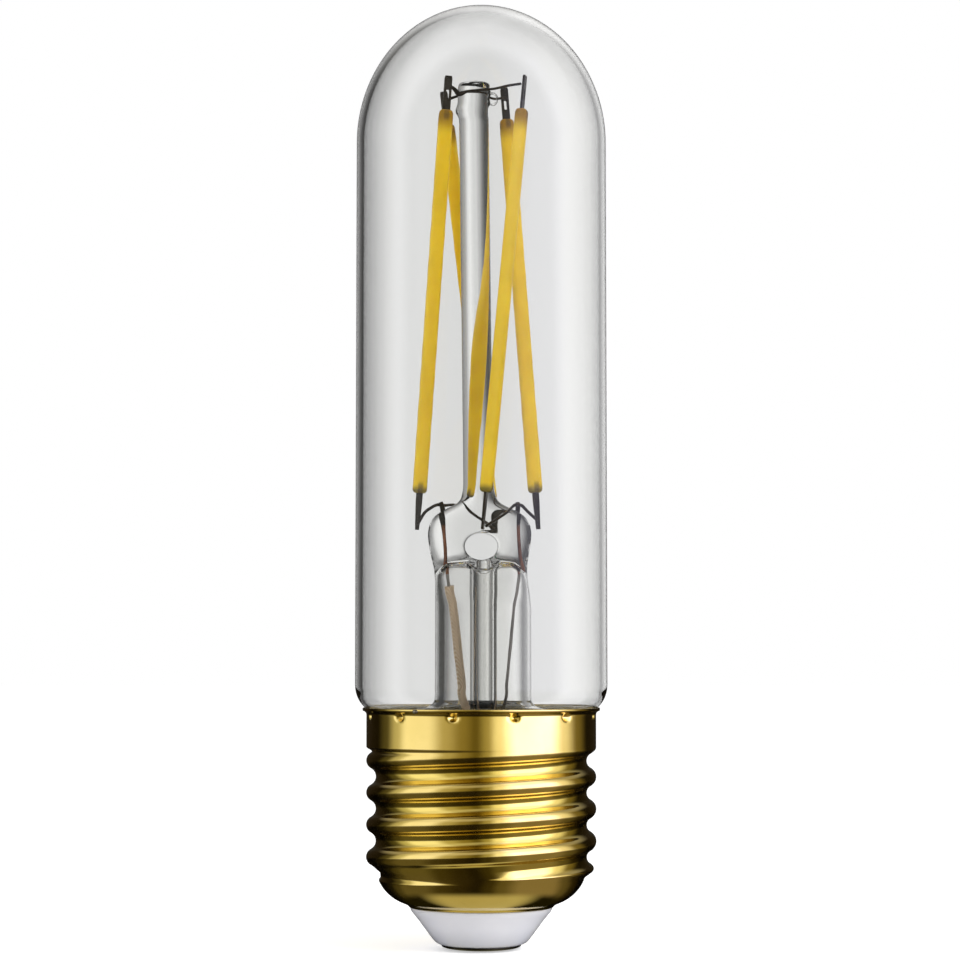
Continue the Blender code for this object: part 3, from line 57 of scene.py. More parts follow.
camera_data = bpy.data.cameras.new("photo_camera")
camera_data.sensor_width = SENSOR_WIDTH
camera_data.lens = FOCAL_LENGTH
camera_data.clip_start = NEAREST
camera = bpy.data.objects.new("photo_camera", camera_data)
camera.location = (CAMERA_SIDE, -CAMERA_DISTANCE, CAMERA_HEIGHT)
camera.rotation_euler = (math.radians(90 + CAMERA_PITCH), 0, 0)
scene.collection.objects.link(camera)
scene.camera = camera
scene.view_settings.view_transform = "Standard"

# Soft boxes by compass angle from the camera's side, -180 to 180 degrees: what metal sees, with
# the colour of the light there, and how bright the room is behind clear glass.
BRIGHTEST = 3.2
METAL_SEES = (
    (-180, (0.05, 0.05, 0.05)), (-155, (0.02, 0.015, 0.01)), (-125, (0.01, 0.007, 0.002)),
    (-108, (0.09, 0.08, 0.03)), (-92, (0.62, 0.6, 0.4)), (-78, (1.25, 1.25, 1.15)),
    (-55, (1.25, 1.25, 1.2)), (-36, (0.55, 0.5, 0.28)), (-18, (0.28, 0.23, 0.07)),
    (-5, (0.14, 0.11, 0.02)), (6, (0.42, 0.37, 0.15)), (17, (1.2, 1.15, 0.9)),
    (36, (2.6, 2.5, 3.2)), (70, (2.6, 2.5, 3.2)), (90, (1.1, 1.05, 0.9)), (110, (0.2, 0.16, 0.05)),
    (130, (0.01, 0.007, 0.002)), (160, (0.02, 0.015, 0.01)), (180, (0.05, 0.05, 0.05)),
)
GLASS_SEES = (
    (-180, 1.0), (-176.5, 1.03), (-175, 0.95), (-173, 0.82), (-169, 0.74), (-166, 0.6),
    (-163, 0.44), (-158.7, 0.28), (-155, 0.18), (-151, 0.11), (-147, 0.07), (-112, 0.1),
    (-88, 0.85), (-45, 0.95), (-25, 0.6), (25, 0.6), (45, 0.95), (88, 0.85), (108, 0.4),
    (130, 0.4), (148, 0.52), (155, 0.8), (160, 1.15), (167, 1.3), (174, 1.12), (176, 1.07),
    (178, 1.02), (180, 1.0),
)
ROOM_LIGHT = (0.62, 0.62, 0.62)
INNER_LIGHT = (2.45, 2.45, 2.45)
CEILING = (0.8, 0.78, 0.7)
ZENITH = (0.1, 0.08, 0.03)
WHITE = (1.0, 1.0, 1.0)
BLACK = (0.0, 0.0, 0.0)


class Term:
    """A number made inside a node tree, so that a formula is written as a formula."""

    def __init__(self, tree, socket):
        self.tree = tree
        self.socket = socket

    def math(self, operation, *others):
        node = self.tree.nodes.new("ShaderNodeMath")
        node.operation = operation
        for target, value in zip(node.inputs, (self, *others)):
            feed(self.tree, target, value)
        return Term(self.tree, node.outputs[0])

    def __add__(self, other):
        return self.math("ADD", other)

    def __sub__(self, other):
        return self.math("SUBTRACT", other)

    def __mul__(self, other):
        return self.math("MULTIPLY", other)

    def __truediv__(self, other):
        return self.math("DIVIDE", other)

    def scaled(self, factor):
        """A colour times a number or another colour."""
        node = self.tree.nodes.new("ShaderNodeVectorMath")
        node.operation = "MULTIPLY"
        feed(self.tree, node.inputs[0], self)
        feed(self.tree, node.inputs[1], factor if isinstance(factor, tuple) else (factor,) * 3)
        return Term(self.tree, node.outputs[0])

    def eased(self, low, high):
        """Smooth step from 0 at low to 1 at high."""
        node = self.tree.nodes.new("ShaderNodeMapRange")
        node.interpolation_type = "SMOOTHSTEP"
        for name, value in (("Value", self), ("From Min", low), ("From Max", high)):
            feed(self.tree, node.inputs[name], value)
        return Term(self.tree, node.outputs[0])

    def ramp(self, stops, interpolation="LINEAR"):
        """A colour or grey looked up along this number; stops are (place, grey or colour)."""
        node = self.tree.nodes.new("ShaderNodeValToRGB")
        node.color_ramp.interpolation = interpolation
        while len(node.color_ramp.elements) < len(stops):
            node.color_ramp.elements.new(1.0)
        for element, (place, value) in zip(node.color_ramp.elements, stops):
            element.position = place
            colour = value if isinstance(value, tuple) else (value,) * 3
            element.color = (*colour, 1.0)
        feed(self.tree, node.inputs[0], self)
        return Term(self.tree, node.outputs[0])


def feed(tree, target, value):
    """Links a term to a socket, or sets the socket to a plain value."""
    if isinstance(value, Term):
        tree.links.new(value.socket, target)
    else:
        target.default_value = value


def mixed(tree, share, one, other):
    """Colour mix: one at share 0, other at share 1."""
    node = tree.nodes.new("ShaderNodeMix")
    node.data_type = "RGBA"
    feed(tree, node.inputs[0], share)
    feed(tree, node.inputs[6], one if isinstance(one, Term) else (*one, 1.0))
    feed(tree, node.inputs[7], other if isinstance(other, Term) else (*other, 1.0))
    return Term(tree, node.outputs[2])


def axes(tree, vector):
    """The three parts of a vector socket."""
    split = tree.nodes.new("ShaderNodeSeparateXYZ")
    tree.links.new(vector, split.inputs[0])
    return tuple(Term(tree, split.outputs[axis]) for axis in "XYZ")


def seen_round(tree, east, north):
    """What metal and clear glass see in a compass direction."""
    compass = east.math("ARCTAN2", north * -1.0) / (2 * math.pi) + 0.5
    metal = [
        (0.5 + angle / 360, tuple(level / BRIGHTEST for level in colour))
        for angle, colour in METAL_SEES
    ]
    glass = [(0.5 + angle / 360, level) for angle, level in GLASS_SEES]
    return compass.ramp(metal, "EASE").scaled(BRIGHTEST), compass.ramp(glass, "EASE")


def seen_light(tree, metal_light, glass_light, white):
    """The light that a ray finds: by its kind, and by whether it passed the glass."""
    path = tree.nodes.new("ShaderNodeLightPath")
    camera_ray, dull, shiny, clear = (
        Term(tree, path.outputs[name])
        for name in ("Is Camera Ray", "Diffuse Depth", "Glossy Depth", "Is Transmission Ray")
    )
    light = mixed(tree, shiny.math("GREATER_THAN", 0.5), ROOM_LIGHT, metal_light)
    light = mixed(tree, clear, light, glass_light)
    is_dull = dull.math("GREATER_THAN", 0.5)
    light = mixed(tree, is_dull, light, mixed(tree, clear, ROOM_LIGHT, INNER_LIGHT))
    return mixed(tree, camera_ray, light, white), camera_ray, is_dull


world = bpy.data.worlds.new("white_studio")
scene.world = world
world.use_nodes = True
sky = world.node_tree
sky.nodes.clear()
east, north, up = axes(sky, sky.nodes.new("ShaderNodeTexCoord").outputs["Generated"])
metal_light, glass_light = seen_round(sky, east, north)
overhead = up.eased(0.35, 0.6) * up.eased(0.98, 0.75)
metal_light = mixed(sky, overhead * 0.45, metal_light, CEILING)
metal_light = mixed(sky, up.eased(0.75, 0.95) * 0.8, metal_light, ZENITH)
glass_light = glass_light * (up.eased(0.55, 0.9) * -0.5 + 1.0)
light, camera_ray, is_dull = seen_light(sky, metal_light, glass_light, WHITE)
backdrop = sky.nodes.new("ShaderNodeBackground")
feed(sky, backdrop.inputs["Color"], light)
sky.links.new(backdrop.outputs[0], sky.nodes.new("ShaderNodeOutputWorld").inputs[0])


def new_material(name, **values):
    """A Principled material and its tree; values are socket names with underscores for spaces."""
    made = bpy.data.materials.new(name)
    made.use_nodes = True
    shader = made.node_tree.nodes["Principled BSDF"]
    for key, value in values.items():
        feed(made.node_tree, shader.inputs[key.replace("_", " ")], value)
    return made, made.node_tree, shader


def coordinates(tree, scale=(1.0, 1.0, 1.0)):
    """Object coordinates in metres, stretched by scale."""
    mapping = tree.nodes.new("ShaderNodeMapping")
    mapping.inputs["Scale"].default_value = scale
    tree.links.new(tree.nodes.new("ShaderNodeTexCoord").outputs["Object"], mapping.inputs[0])
    return mapping.outputs[0]


def noise(tree, scale, detail=3.0, stretch=(1.0, 1.0, 1.0)):
    """Cloudy noise on object coordinates, 0 to 1."""
    node = tree.nodes.new("ShaderNodeTexNoise")
    node.inputs["Scale"].default_value = scale
    node.inputs["Detail"].default_value = detail
    tree.links.new(coordinates(tree, stretch), node.inputs["Vector"])
    return Term(tree, node.outputs["Fac"])


def bump(tree, shader, height, strength, distance):
    """Fine relief in a material, distance in mm."""
    node = tree.nodes.new("ShaderNodeBump")
    node.inputs["Strength"].default_value = strength
    node.inputs["Distance"].default_value = distance * MM
    feed(tree, node.inputs["Height"], height)
    tree.links.new(node.outputs[0], shader.inputs["Normal"])


def placed(name, data):
    """An object at the origin that shows a mesh, curve or lamp."""
    made = bpy.data.objects.new(name, data)
    scene.collection.objects.link(made)
    return made


FLOOR_HALF = 3.0
FLOOR_HEIGHT = -0.02 * MM
FLOOR_LIFT = (0.5, 0.5, 0.5)
FLOOR_PAINT = (0.9, 0.9, 0.9)
# Near the bulb the floor has painted shade for metal and glass, and painted light under its front.
PAINTED_LIGHT_UNDER_FRONT = (0.5, 0.46, 0.25)
PAINTED_SHADE_UNDER_BACK = (0.01, 0.008, 0.0)
PAINTED_SHADE_AROUND = (0.1, 0.085, 0.035)

sweep = bpy.data.meshes.new("floor")
quarters = ((-1, -1), (1, -1), (1, 1), (-1, 1))
corners = [(x * FLOOR_HALF, y * FLOOR_HALF, FLOOR_HEIGHT) for x, y in quarters]
sweep.from_pydata(corners, [], [(0, 1, 2, 3)])
floor = placed("floor", sweep)
floor_paint, tree, shader = new_material("white_sweep", Roughness=0.9, Specular_IOR_Level=0.0)
east, north, _ = axes(tree, coordinates(tree))
metal_light, glass_light = seen_round(tree, east, north)
away = (east * east + north * north).math("SQRT")
# Painted shade near the bulb: black behind the foot, darker soft boxes round it, faded by 170 mm.
ahead = (north * -1.0 / away).eased(0.35, 0.85)
under = mixed(tree, ahead, PAINTED_SHADE_UNDER_BACK, PAINTED_LIGHT_UNDER_FRONT)
around = metal_light.scaled(PAINTED_SHADE_AROUND)
below = mixed(tree, away.eased(11 * MM, 15 * MM), under, around)
metal_light = mixed(tree, away.eased(45 * MM, 170 * MM), below, metal_light)
# Painted shade seen through the glass: the floor is darker near the bulb, faded out by 210 mm.
glass_light = glass_light * (away.eased(50 * MM, 210 * MM) * 0.6 + 0.4)
light, camera_ray, is_dull = seen_light(tree, metal_light, glass_light, FLOOR_LIFT)
painted = camera_ray.math("MAXIMUM", is_dull)
feed(tree, shader.inputs["Base Color"], mixed(tree, painted, BLACK, FLOOR_PAINT))
feed(tree, shader.inputs["Emission Color"], mixed(tree, is_dull, light, BLACK))
shader.inputs["Emission Strength"].default_value = 1.0
floor.data.materials.append(floor_paint)

LAMP_AIM = Vector((0, 0, 0.05))
# Name, place, size and power in watts of each lamp.
LAMPS = (
    ("key_lamp", (0.55, -0.45, 0.45), 0.5, 3.9),
    ("fill_lamp", (-0.6, -0.25, 0.35), 0.6, 0.4),
)
for name, place, size, power in LAMPS:
    lamp_data = bpy.data.lights.new(name, "AREA")
    lamp_data.shape = "DISK"
    lamp_data.size = size
    lamp_data.energy = power
    lamp = placed(name, lamp_data)
    lamp.location = place
    lamp.rotation_euler = (LAMP_AIM - Vector(place)).to_track_quat("-Z", "Y").to_euler()
    lamp.visible_camera = False
    lamp.visible_glossy = False
    lamp.visible_transmission = False


# Glass envelope: one blown and drawn tube of clear soda-lime glass with a domed crown. Its
# shoulder is rolled in over the rim of the cap and its neck stands in the cap's cement.
GLASS_RADIUS = 14.35
GLASS_WALL = 0.8
OVERALL_LENGTH = 107.9
DOME_HEIGHT = 15.9
SHOULDER_RADIUS = 3.5
SHOULDER_HEIGHT = 29.75
SHOULDER_SWEEP = 78
INNER_SHOULDER_RADIUS = 2.15
INNER_SHOULDER_HEIGHT = 29.12
INNER_SHOULDER_SWEEP = 72
NECK_RADIUS = 11.35
NECK_END = 23.32
GLASS_SIDES = 192
DOME_STEPS = 48
TUBE_STEPS = 24
GLASS_BENDING = 1.47
CLEAR_SPECULAR = (0.4, 0.4, 0.4, 1.0)
ENVELOPE_TINT = (0.84, 0.842, 0.838)
# Painted shade where the envelope is seen almost edge on.
ENVELOPE_EDGE_SHADE = (0.89, 0.89, 0.89)


def from_bmesh(name, bm):
    """An object from a closed bmesh, with its faces turned outwards."""
    bmesh.ops.recalc_face_normals(bm, faces=bm.faces)
    mesh = bpy.data.meshes.new(name)
    bm.to_mesh(mesh)
    bm.free()
    return placed(name, mesh)


def lathed(name, profile, sides):
    """Closed skin of revolution through (radius, height) points in mm; radius 0 makes a pole."""
    bm = bmesh.new()
    rows = []
    for radius, height in profile:
        if radius == 0:
            rows.append([bm.verts.new((0, 0, height * MM))] * sides)
            continue
        turns = [2 * math.pi * i / sides for i in range(sides)]
        ring = [(radius * math.cos(t) * MM, radius * math.sin(t) * MM, height * MM) for t in turns]
        rows.append([bm.verts.new(point) for point in ring])
    if profile[0][0] > 0:
        rows.append(rows[0])
    for high, low in zip(rows, rows[1:]):
        for i in range(sides):
            j = (i + 1) % sides
            corners = list(dict.fromkeys((high[i], low[i], low[j], high[j])))
            if len(corners) > 2:
                bm.faces.new(corners)
    made = from_bmesh(name, bm)
    made.data.shade_smooth()
    return made


def arc(centre, radius, start, end, steps):
    """Points of an arc in mm, angles in degrees from the outward direction."""
    angles = [math.radians(start + (end - start) * i / steps) for i in range(steps + 1)]
    return [(centre[0] + radius * math.cos(a), centre[1] + radius * math.sin(a)) for a in angles]


def finished(piece, material, slot, *replaced):
    """Dresses a piece, hangs it on the bulb's one body and lets it stand for its CAD nodes."""
    if not piece.data.materials:
        piece.data.materials.append(material)
    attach(piece, "root")
    if replaced:
        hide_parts(*replaced)


def envelope_line(inset, lower):
    """The blown outline from crown to shoulder, drawn in by inset, and the points below it."""
    radius = GLASS_RADIUS - inset
    height = DOME_HEIGHT - inset
    base = OVERALL_LENGTH - DOME_HEIGHT
    turns = [math.radians(90 * i / DOME_STEPS) for i in range(1, DOME_STEPS + 1)]
    dome = [(0, base + height)]
    dome += [(radius * math.sin(t), base + height * math.cos(t)) for t in turns]
    drop = lower[0][1] - base
    tube = [(radius, base + drop * i / TUBE_STEPS) for i in range(1, TUBE_STEPS)]
    return [*dome, *tube, *lower]


def clear_glass(name, tint, edge, edge_start, waviness):
    """Clear glass, slightly grey, with painted light at a slant and painted shade near edge on."""
    made, tree, shader = new_material(
        name,
        Roughness=0.0,
        IOR=GLASS_BENDING,
        Transmission_Weight=1.0,
        Specular_Tint=CLEAR_SPECULAR,
    )
    layer = tree.nodes.new("ShaderNodeLayerWeight")
    layer.inputs["Blend"].default_value = 0.5
    facing = Term(tree, layer.outputs["Facing"])
    # Painted light and shade by the facing angle: a clearer band at a slant, darker towards edge
    # on.
    slant_painted_light = tuple(0.1 * level + 0.9 for level in tint)
    stops = [(0.0, tint), (0.18, tint), (0.3, slant_painted_light), (0.48, slant_painted_light)]
    stops += [(edge_start, tint), (1.0, edge)]
    feed(tree, shader.inputs["Base Color"], facing.ramp(stops, "EASE"))
    bump(tree, shader, noise(tree, 90.0, 1.0, (1.0, 1.0, 0.35)), waviness, 0.05)
    return made


envelope_glass = clear_glass("envelope_glass", ENVELOPE_TINT, ENVELOPE_EDGE_SHADE, 0.58, 0.15)
outer_centre = (GLASS_RADIUS - SHOULDER_RADIUS, SHOULDER_HEIGHT)
outer_shoulder = arc(outer_centre, SHOULDER_RADIUS, 0, -SHOULDER_SWEEP, 16)
outer_neck = [(NECK_RADIUS + 0.05, 26.05), (NECK_RADIUS, 25.8), (NECK_RADIUS, NECK_END)]
inner_centre = (GLASS_RADIUS - GLASS_WALL - INNER_SHOULDER_RADIUS, INNER_SHOULDER_HEIGHT)
inner_shoulder = arc(inner_centre, INNER_SHOULDER_RADIUS, 0, -INNER_SHOULDER_SWEEP, 12)
inner_neck = [(11.6, 26.95), (10.95, 26.75), (10.64, 26.4), (10.55, 26.0), (10.55, NECK_END)]
outer_line = envelope_line(0.0, [*outer_shoulder, *outer_neck])
inner_line = envelope_line(GLASS_WALL, [*inner_shoulder, *inner_neck])
envelope = lathed("blown_envelope", [*outer_line, *reversed(inner_line)], GLASS_SIDES)
finished(envelope, envelope_glass, "envelope_glass", "glass_envelope")


# Stem: a flare tube, two seals and a rod of lead-free glass, melted and pinched flat round the
# lead-in wires. The exhaust tube is fused in below and opens through the hole in the pinch.
STEM_SIDES = 72
RING_STEP = 0.2
# Height, side, width, depth and squareness of each section.
STEM_SECTIONS = (
    (23.67, 0.0, 20.5, 20.5, 2.0),
    (24.5, 0.0, 20.0, 20.0, 2.0),
    (25.6, 0.05, 15.6, 15.6, 2.0),
    (26.87, 0.12, 12.4, 12.4, 2.0),
    (28.27, 0.2, 11.1, 11.1, 2.0),
    (30.17, 0.22, 11.0, 11.0, 2.0),
    (38.47, 0.22, 11.0, 11.0, 2.0),
    (40.27, 0.14, 10.8, 10.0, 2.05),
    (41.67, 0.02, 10.6, 8.4, 2.2),
    (42.97, -0.08, 10.65, 6.4, 2.4),
    (44.07, -0.15, 11.05, 4.7, 2.7),
    (45.47, -0.18, 11.6, 3.9, 3.0),
    (46.87, -0.17, 11.9, 3.7, 3.1),
    (47.97, -0.17, 11.6, 3.6, 3.0),
    (48.87, -0.17, 10.6, 3.5, 2.7),
    (49.47, -0.2, 9.0, 3.5, 2.4),
    (49.92, -0.24, 7.1, 3.45, 2.2),
    (50.37, -0.27, 5.0, 3.45, 2.0),
    (50.97, -0.28, 4.0, 3.45, 2.0),
    (52.27, -0.3, 3.55, 3.45, 2.0),
    (59.6, -0.42, 3.45, 3.45, 2.0),
    (95.1, -0.84, 3.45, 3.45, 2.0),
    (95.6, -1.12, 3.85, 3.85, 2.0),
    (96.0, -1.16, 3.85, 3.85, 2.0),
    (96.35, -0.95, 3.6, 3.6, 2.0),
    (98.25, -0.93, 3.6, 3.6, 2.0),
    (98.6, -0.82, 3.8, 3.8, 2.0),
    (98.88, -0.8, 3.85, 3.85, 2.0),
    (99.03, -0.8, 3.5, 3.5, 2.0),
)
BORE_SECTIONS = (
    (22.9, 0.0, 18.8, 18.8, 2.0),
    (23.9, 0.0, 18.6, 18.6, 2.0),
    (25.0, 0.05, 13.8, 13.8, 2.0),
    (26.47, 0.12, 10.4, 10.4, 2.0),
    (27.87, 0.2, 9.2, 9.2, 2.0),
    (30.17, 0.22, 9.0, 9.0, 2.0),
    (38.67, 0.22, 9.0, 9.0, 2.0),
    (41.07, 0.1, 8.9, 6.6, 2.1),
    (42.27, 0.0, 8.8, 4.6, 2.3),
    (42.97, -0.05, 8.2, 2.9, 2.4),
    (43.37, -0.08, 7.2, 1.7, 2.4),
)
VENT_HEIGHT = 45.47
VENT_SIZE = (3.75, 3.15)
VENT_REACH = 4
EXHAUST_SIDE = 0.25
EXHAUST_RADIUS = 1.55
EXHAUST_BORE = 0.85
EXHAUST_TOP = 43.97
EXHAUST_TIP = 19.57
EXHAUST_SEAL = 2.0
EAR_CENTRE = (1.34, 0.0, 97.22)
EAR_RADII = (0.5, 0.74)
EAR_THICKNESS = 0.2
EAR_STEPS = 32
EAR_SIDES = 12
BAR_SIDES = 48
MELT_GRAIN = 0.196
MELT_ROUNDS = 8
STEM_TINT = (0.93, 0.93, 0.92)
# Painted shade where the stem is seen almost edge on.
STEM_EDGE_SHADE = (0.25, 0.25, 0.24)


def smooth_sections(table, step):
    """The table's sections at every step of height, with the corners between them eased."""
    table = np.array(table)
    heights = np.arange(table[0, 0], table[-1, 0], step)
    heights = np.append(heights, table[-1, 0])
    columns = [np.interp(heights, table[:, 0], table[:, i]) for i in range(1, table.shape[1])]
    kernel = np.array([1, 2, 3, 2, 1]) / 9
    eased = [np.convolve(np.pad(column, 2, "edge"), kernel, "valid") for column in columns]
    return np.column_stack([heights, *eased])


def closed_faces(points, sides):
    """Faces of a closed skin whose points lie ring by ring, with a flat cap at both ends."""
    rings = len(points) // sides
    faces = []
    for low in range(0, (rings - 1) * sides, sides):
        high = low + sides
        for i in range(sides):
            j = (i + 1) % sides
            faces.append((low + i, low + j, high + j, high + i))
    faces.append(tuple(range(sides - 1, -1, -1)))
    faces.append(tuple(range((rings - 1) * sides, rings * sides)))
    return faces


def lofted(name, table):
    """Closed skin through the sections of a table."""
    turns = np.arange(STEM_SIDES) * 2 * np.pi / STEM_SIDES
    cosines, sines = np.cos(turns), np.sin(turns)
    points = []
    for height, side, width, depth, squareness in smooth_sections(table, RING_STEP):
        x = np.sign(cosines) * np.abs(cosines) ** (2 / squareness) * width / 2 + side
        y = np.sign(sines) * np.abs(sines) ** (2 / squareness) * depth / 2
        points += [(px * MM, py * MM, height * MM) for px, py in zip(x, y)]
    mesh = bpy.data.meshes.new(name)
    mesh.from_pydata(points, [], closed_faces(points, STEM_SIDES))
    return placed(name, mesh)


def bar(name, radii, low, high, place, sideways=False):
    """A round or oval bar in mm, upright or lying along Y."""
    bm = bmesh.new()
    length = (high - low) * MM
    bmesh.ops.create_cone(
        bm, cap_ends=True, segments=BAR_SIDES, radius1=1, radius2=1, depth=length
    )
    bmesh.ops.scale(bm, vec=(radii[0] * MM, radii[1] * MM, 1.0), verts=bm.verts)
    bmesh.ops.translate(bm, vec=(0, 0, (high + low) / 2 * MM), verts=bm.verts)
    if sideways:
        lying = Matrix.Rotation(math.pi / 2, 3, "X")
        bmesh.ops.rotate(bm, cent=(0, 0, 0), matrix=lying, verts=bm.verts)
    bmesh.ops.translate(bm, vec=[value * MM for value in place], verts=bm.verts)
    return from_bmesh(name, bm)


def eyelet(name):
    """The ear: an upright oval ring of glass thread that faces the front."""
    bm = bmesh.new()
    centre = Vector(EAR_CENTRE)
    turns = [2 * math.pi * i / EAR_STEPS for i in range(EAR_STEPS)]
    around = [2 * math.pi * i / EAR_SIDES for i in range(EAR_SIDES)]
    rows = []
    for turn in turns:
        outward = Vector((math.cos(turn), 0, math.sin(turn)))
        middle = centre + Vector((EAR_RADII[0] * outward.x, 0, EAR_RADII[1] * outward.z))
        sections = [outward * math.cos(a) + Vector((0, math.sin(a), 0)) for a in around]
        rows.append([bm.verts.new((middle + EAR_THICKNESS * part) * MM) for part in sections])
    for row, after in zip(rows, rows[1:] + rows[:1]):
        for i in range(EAR_SIDES):
            j = (i + 1) % EAR_SIDES
            bm.faces.new((row[i], row[j], after[j], after[i]))
    return from_bmesh(name, bm)


def evaluated_mesh(piece):
    """The piece's mesh as its modifiers or its bevel leave it."""
    bpy.context.view_layer.update()
    graph = bpy.context.evaluated_depsgraph_get()
    return bpy.data.meshes.new_from_object(piece.evaluated_get(graph))


def as_plain_mesh(piece):
    """Turns the piece's modifiers into its mesh, shaded smooth."""
    mesh = evaluated_mesh(piece)
    piece.modifiers.clear()
    piece.data = mesh
    mesh.shade_smooth()


stem = lofted("fused_stem", STEM_SECTIONS)
exhaust_place = (EXHAUST_SIDE, 0, 0)
exhaust_wall = ((EXHAUST_RADIUS,) * 2, EXHAUST_TIP, EXHAUST_TOP, exhaust_place)
exhaust_bore = ((EXHAUST_BORE,) * 2, EXHAUST_TIP + EXHAUST_SEAL, VENT_HEIGHT, exhaust_place)
vent_radii = (VENT_SIZE[0] / 2, VENT_SIZE[1] / 2)
vent = (vent_radii, -VENT_REACH, VENT_REACH, (0, 0, VENT_HEIGHT), True)
tools = [
    (lofted("stem_bore", BORE_SECTIONS), "DIFFERENCE"),
    (bar("exhaust_wall", *exhaust_wall), "UNION"),
    (bar("exhaust_bore", *exhaust_bore), "DIFFERENCE"),
    (bar("vent", *vent), "DIFFERENCE"),
    (eyelet("ear"), "UNION"),
]
for tool, operation in tools:
    fused = stem.modifiers.new(operation, "BOOLEAN")
    fused.operation = operation
    fused.object = tool
    fused.solver = "EXACT"
melt = stem.modifiers.new("melt", "REMESH")
melt.mode = "VOXEL"
melt.voxel_size = MELT_GRAIN * MM
flow = stem.modifiers.new("flow", "SMOOTH")
flow.factor = 0.5
flow.iterations = MELT_ROUNDS
as_plain_mesh(stem)
for tool, _ in tools:
    bpy.data.objects.remove(tool)
stem_glass = clear_glass("stem_glass", STEM_TINT, STEM_EDGE_SHADE, 0.6, 0.25)
finished(stem, stem_glass, "stem_glass", "stem_glass", "exhaust_tube")


# Filaments: four strips of LED dies on a narrow carrier, coated all round with yellow phosphor
# silicone. Each hangs between two flat steel tabs whose roots are moulded into its ends.

# Top and foot of each strip, and the direction of its width.
FILAMENTS = {
    "filament_1": ((-3.99, -2.49, 95.45), (-7.06, 0.0, 51.6), (0.988, 0.139, -0.061)),
    "filament_2": ((-3.95, 2.49, 94.75), (1.06, 6.01, 51.15), (0.974, -0.207, 0.095)),
    "filament_3": ((2.96, 3.01, 95.45), (6.2, 0.0, 51.64), (0.965, 0.258, 0.054)),
    "filament_4": ((4.61, -4.28, 95.14), (0.53, -6.01, 51.33), (0.308, 0.949, -0.066)),
}
STRIP_WIDTH = 1.65
STRIP_THICKNESS = 1.4
STRIP_SIDES = 28
STRIP_STEPS = 40
END_STEPS = 6
END_ROUNDING = 0.55
END_SHARE = 0.55
CORNER_POWER = 0.72
PHOSPHOR = (0.82, 0.53, 0.006)
PHOSPHOR_LIGHT = (0.92, 0.61, 0.012)
PHOSPHOR_RIM = (0.9, 0.68, 0.1)
AMBER = ((0.26, 0.13, 0.003), (0.4, 0.22, 0.005))
OLIVE = ((0.2, 0.15, 0.02), (0.34, 0.25, 0.03))
TAB_SHADE = (0.08, 0.045, 0.01)


def strip_mesh(name, top, foot, across):
    """A soft-cornered bar between two points, with its share of length and width stored."""
    top, foot, across = Vector(top), Vector(foot), Vector(across)
    along = top - foot
    back = along.normalized().cross(across)
    length = along.length
    turns = [math.radians(90 * i / END_STEPS) for i in range(END_STEPS + 1)]
    ends = [END_ROUNDING * (1 - math.cos(turn)) for turn in turns]
    middle = length - 2 * END_ROUNDING
    stations = [*ends, *(END_ROUNDING + middle * i / STRIP_STEPS for i in range(1, STRIP_STEPS))]
    stations += [length - end for end in reversed(ends)]
    points, lengths, widths = [], [], []
    for station in stations:
        end = min(station, length - station)
        rounding = max(0.0, 1 - end / END_ROUNDING)
        size = END_SHARE + (1 - END_SHARE) * math.sqrt(1 - rounding**2)
        wobble = 1 + 0.018 * math.sin(station * 1.9 + top[0]) + 0.012 * math.sin(station * 4.3)
        half_width = STRIP_WIDTH / 2 * size * wobble
        half_depth = STRIP_THICKNESS / 2 * size
        for i in range(STRIP_SIDES):
            turn = 2 * math.pi * i / STRIP_SIDES
            u = math.copysign(abs(math.cos(turn)) ** CORNER_POWER, math.cos(turn))
            v = math.copysign(abs(math.sin(turn)) ** CORNER_POWER, math.sin(turn))
            offset = across * (u * half_width) + back * (v * half_depth)
            points.append((foot + along * (station / length) + offset) * MM)
            lengths.append(station)
            widths.append(u)
    mesh = bpy.data.meshes.new(name)
    mesh.from_pydata([tuple(point) for point in points], [], closed_faces(points, STRIP_SIDES))
    bm = bmesh.new()
    bm.from_mesh(mesh)
    bmesh.ops.recalc_face_normals(bm, faces=bm.faces)
    bm.to_mesh(mesh)
    bm.free()
    for label, values in (("along_mm", lengths), ("across", widths)):
        mesh.attributes.new(label, "FLOAT", "POINT").data.foreach_set("value", values)
    mesh.shade_smooth()
    mesh.set_sharp_from_angle(angle=math.radians(50))
    return placed(name, mesh), length


def attribute(tree, name):
    """A number stored on the mesh."""
    node = tree.nodes.new("ShaderNodeAttribute")
    node.attribute_name = name
    return Term(tree, node.outputs["Fac"])


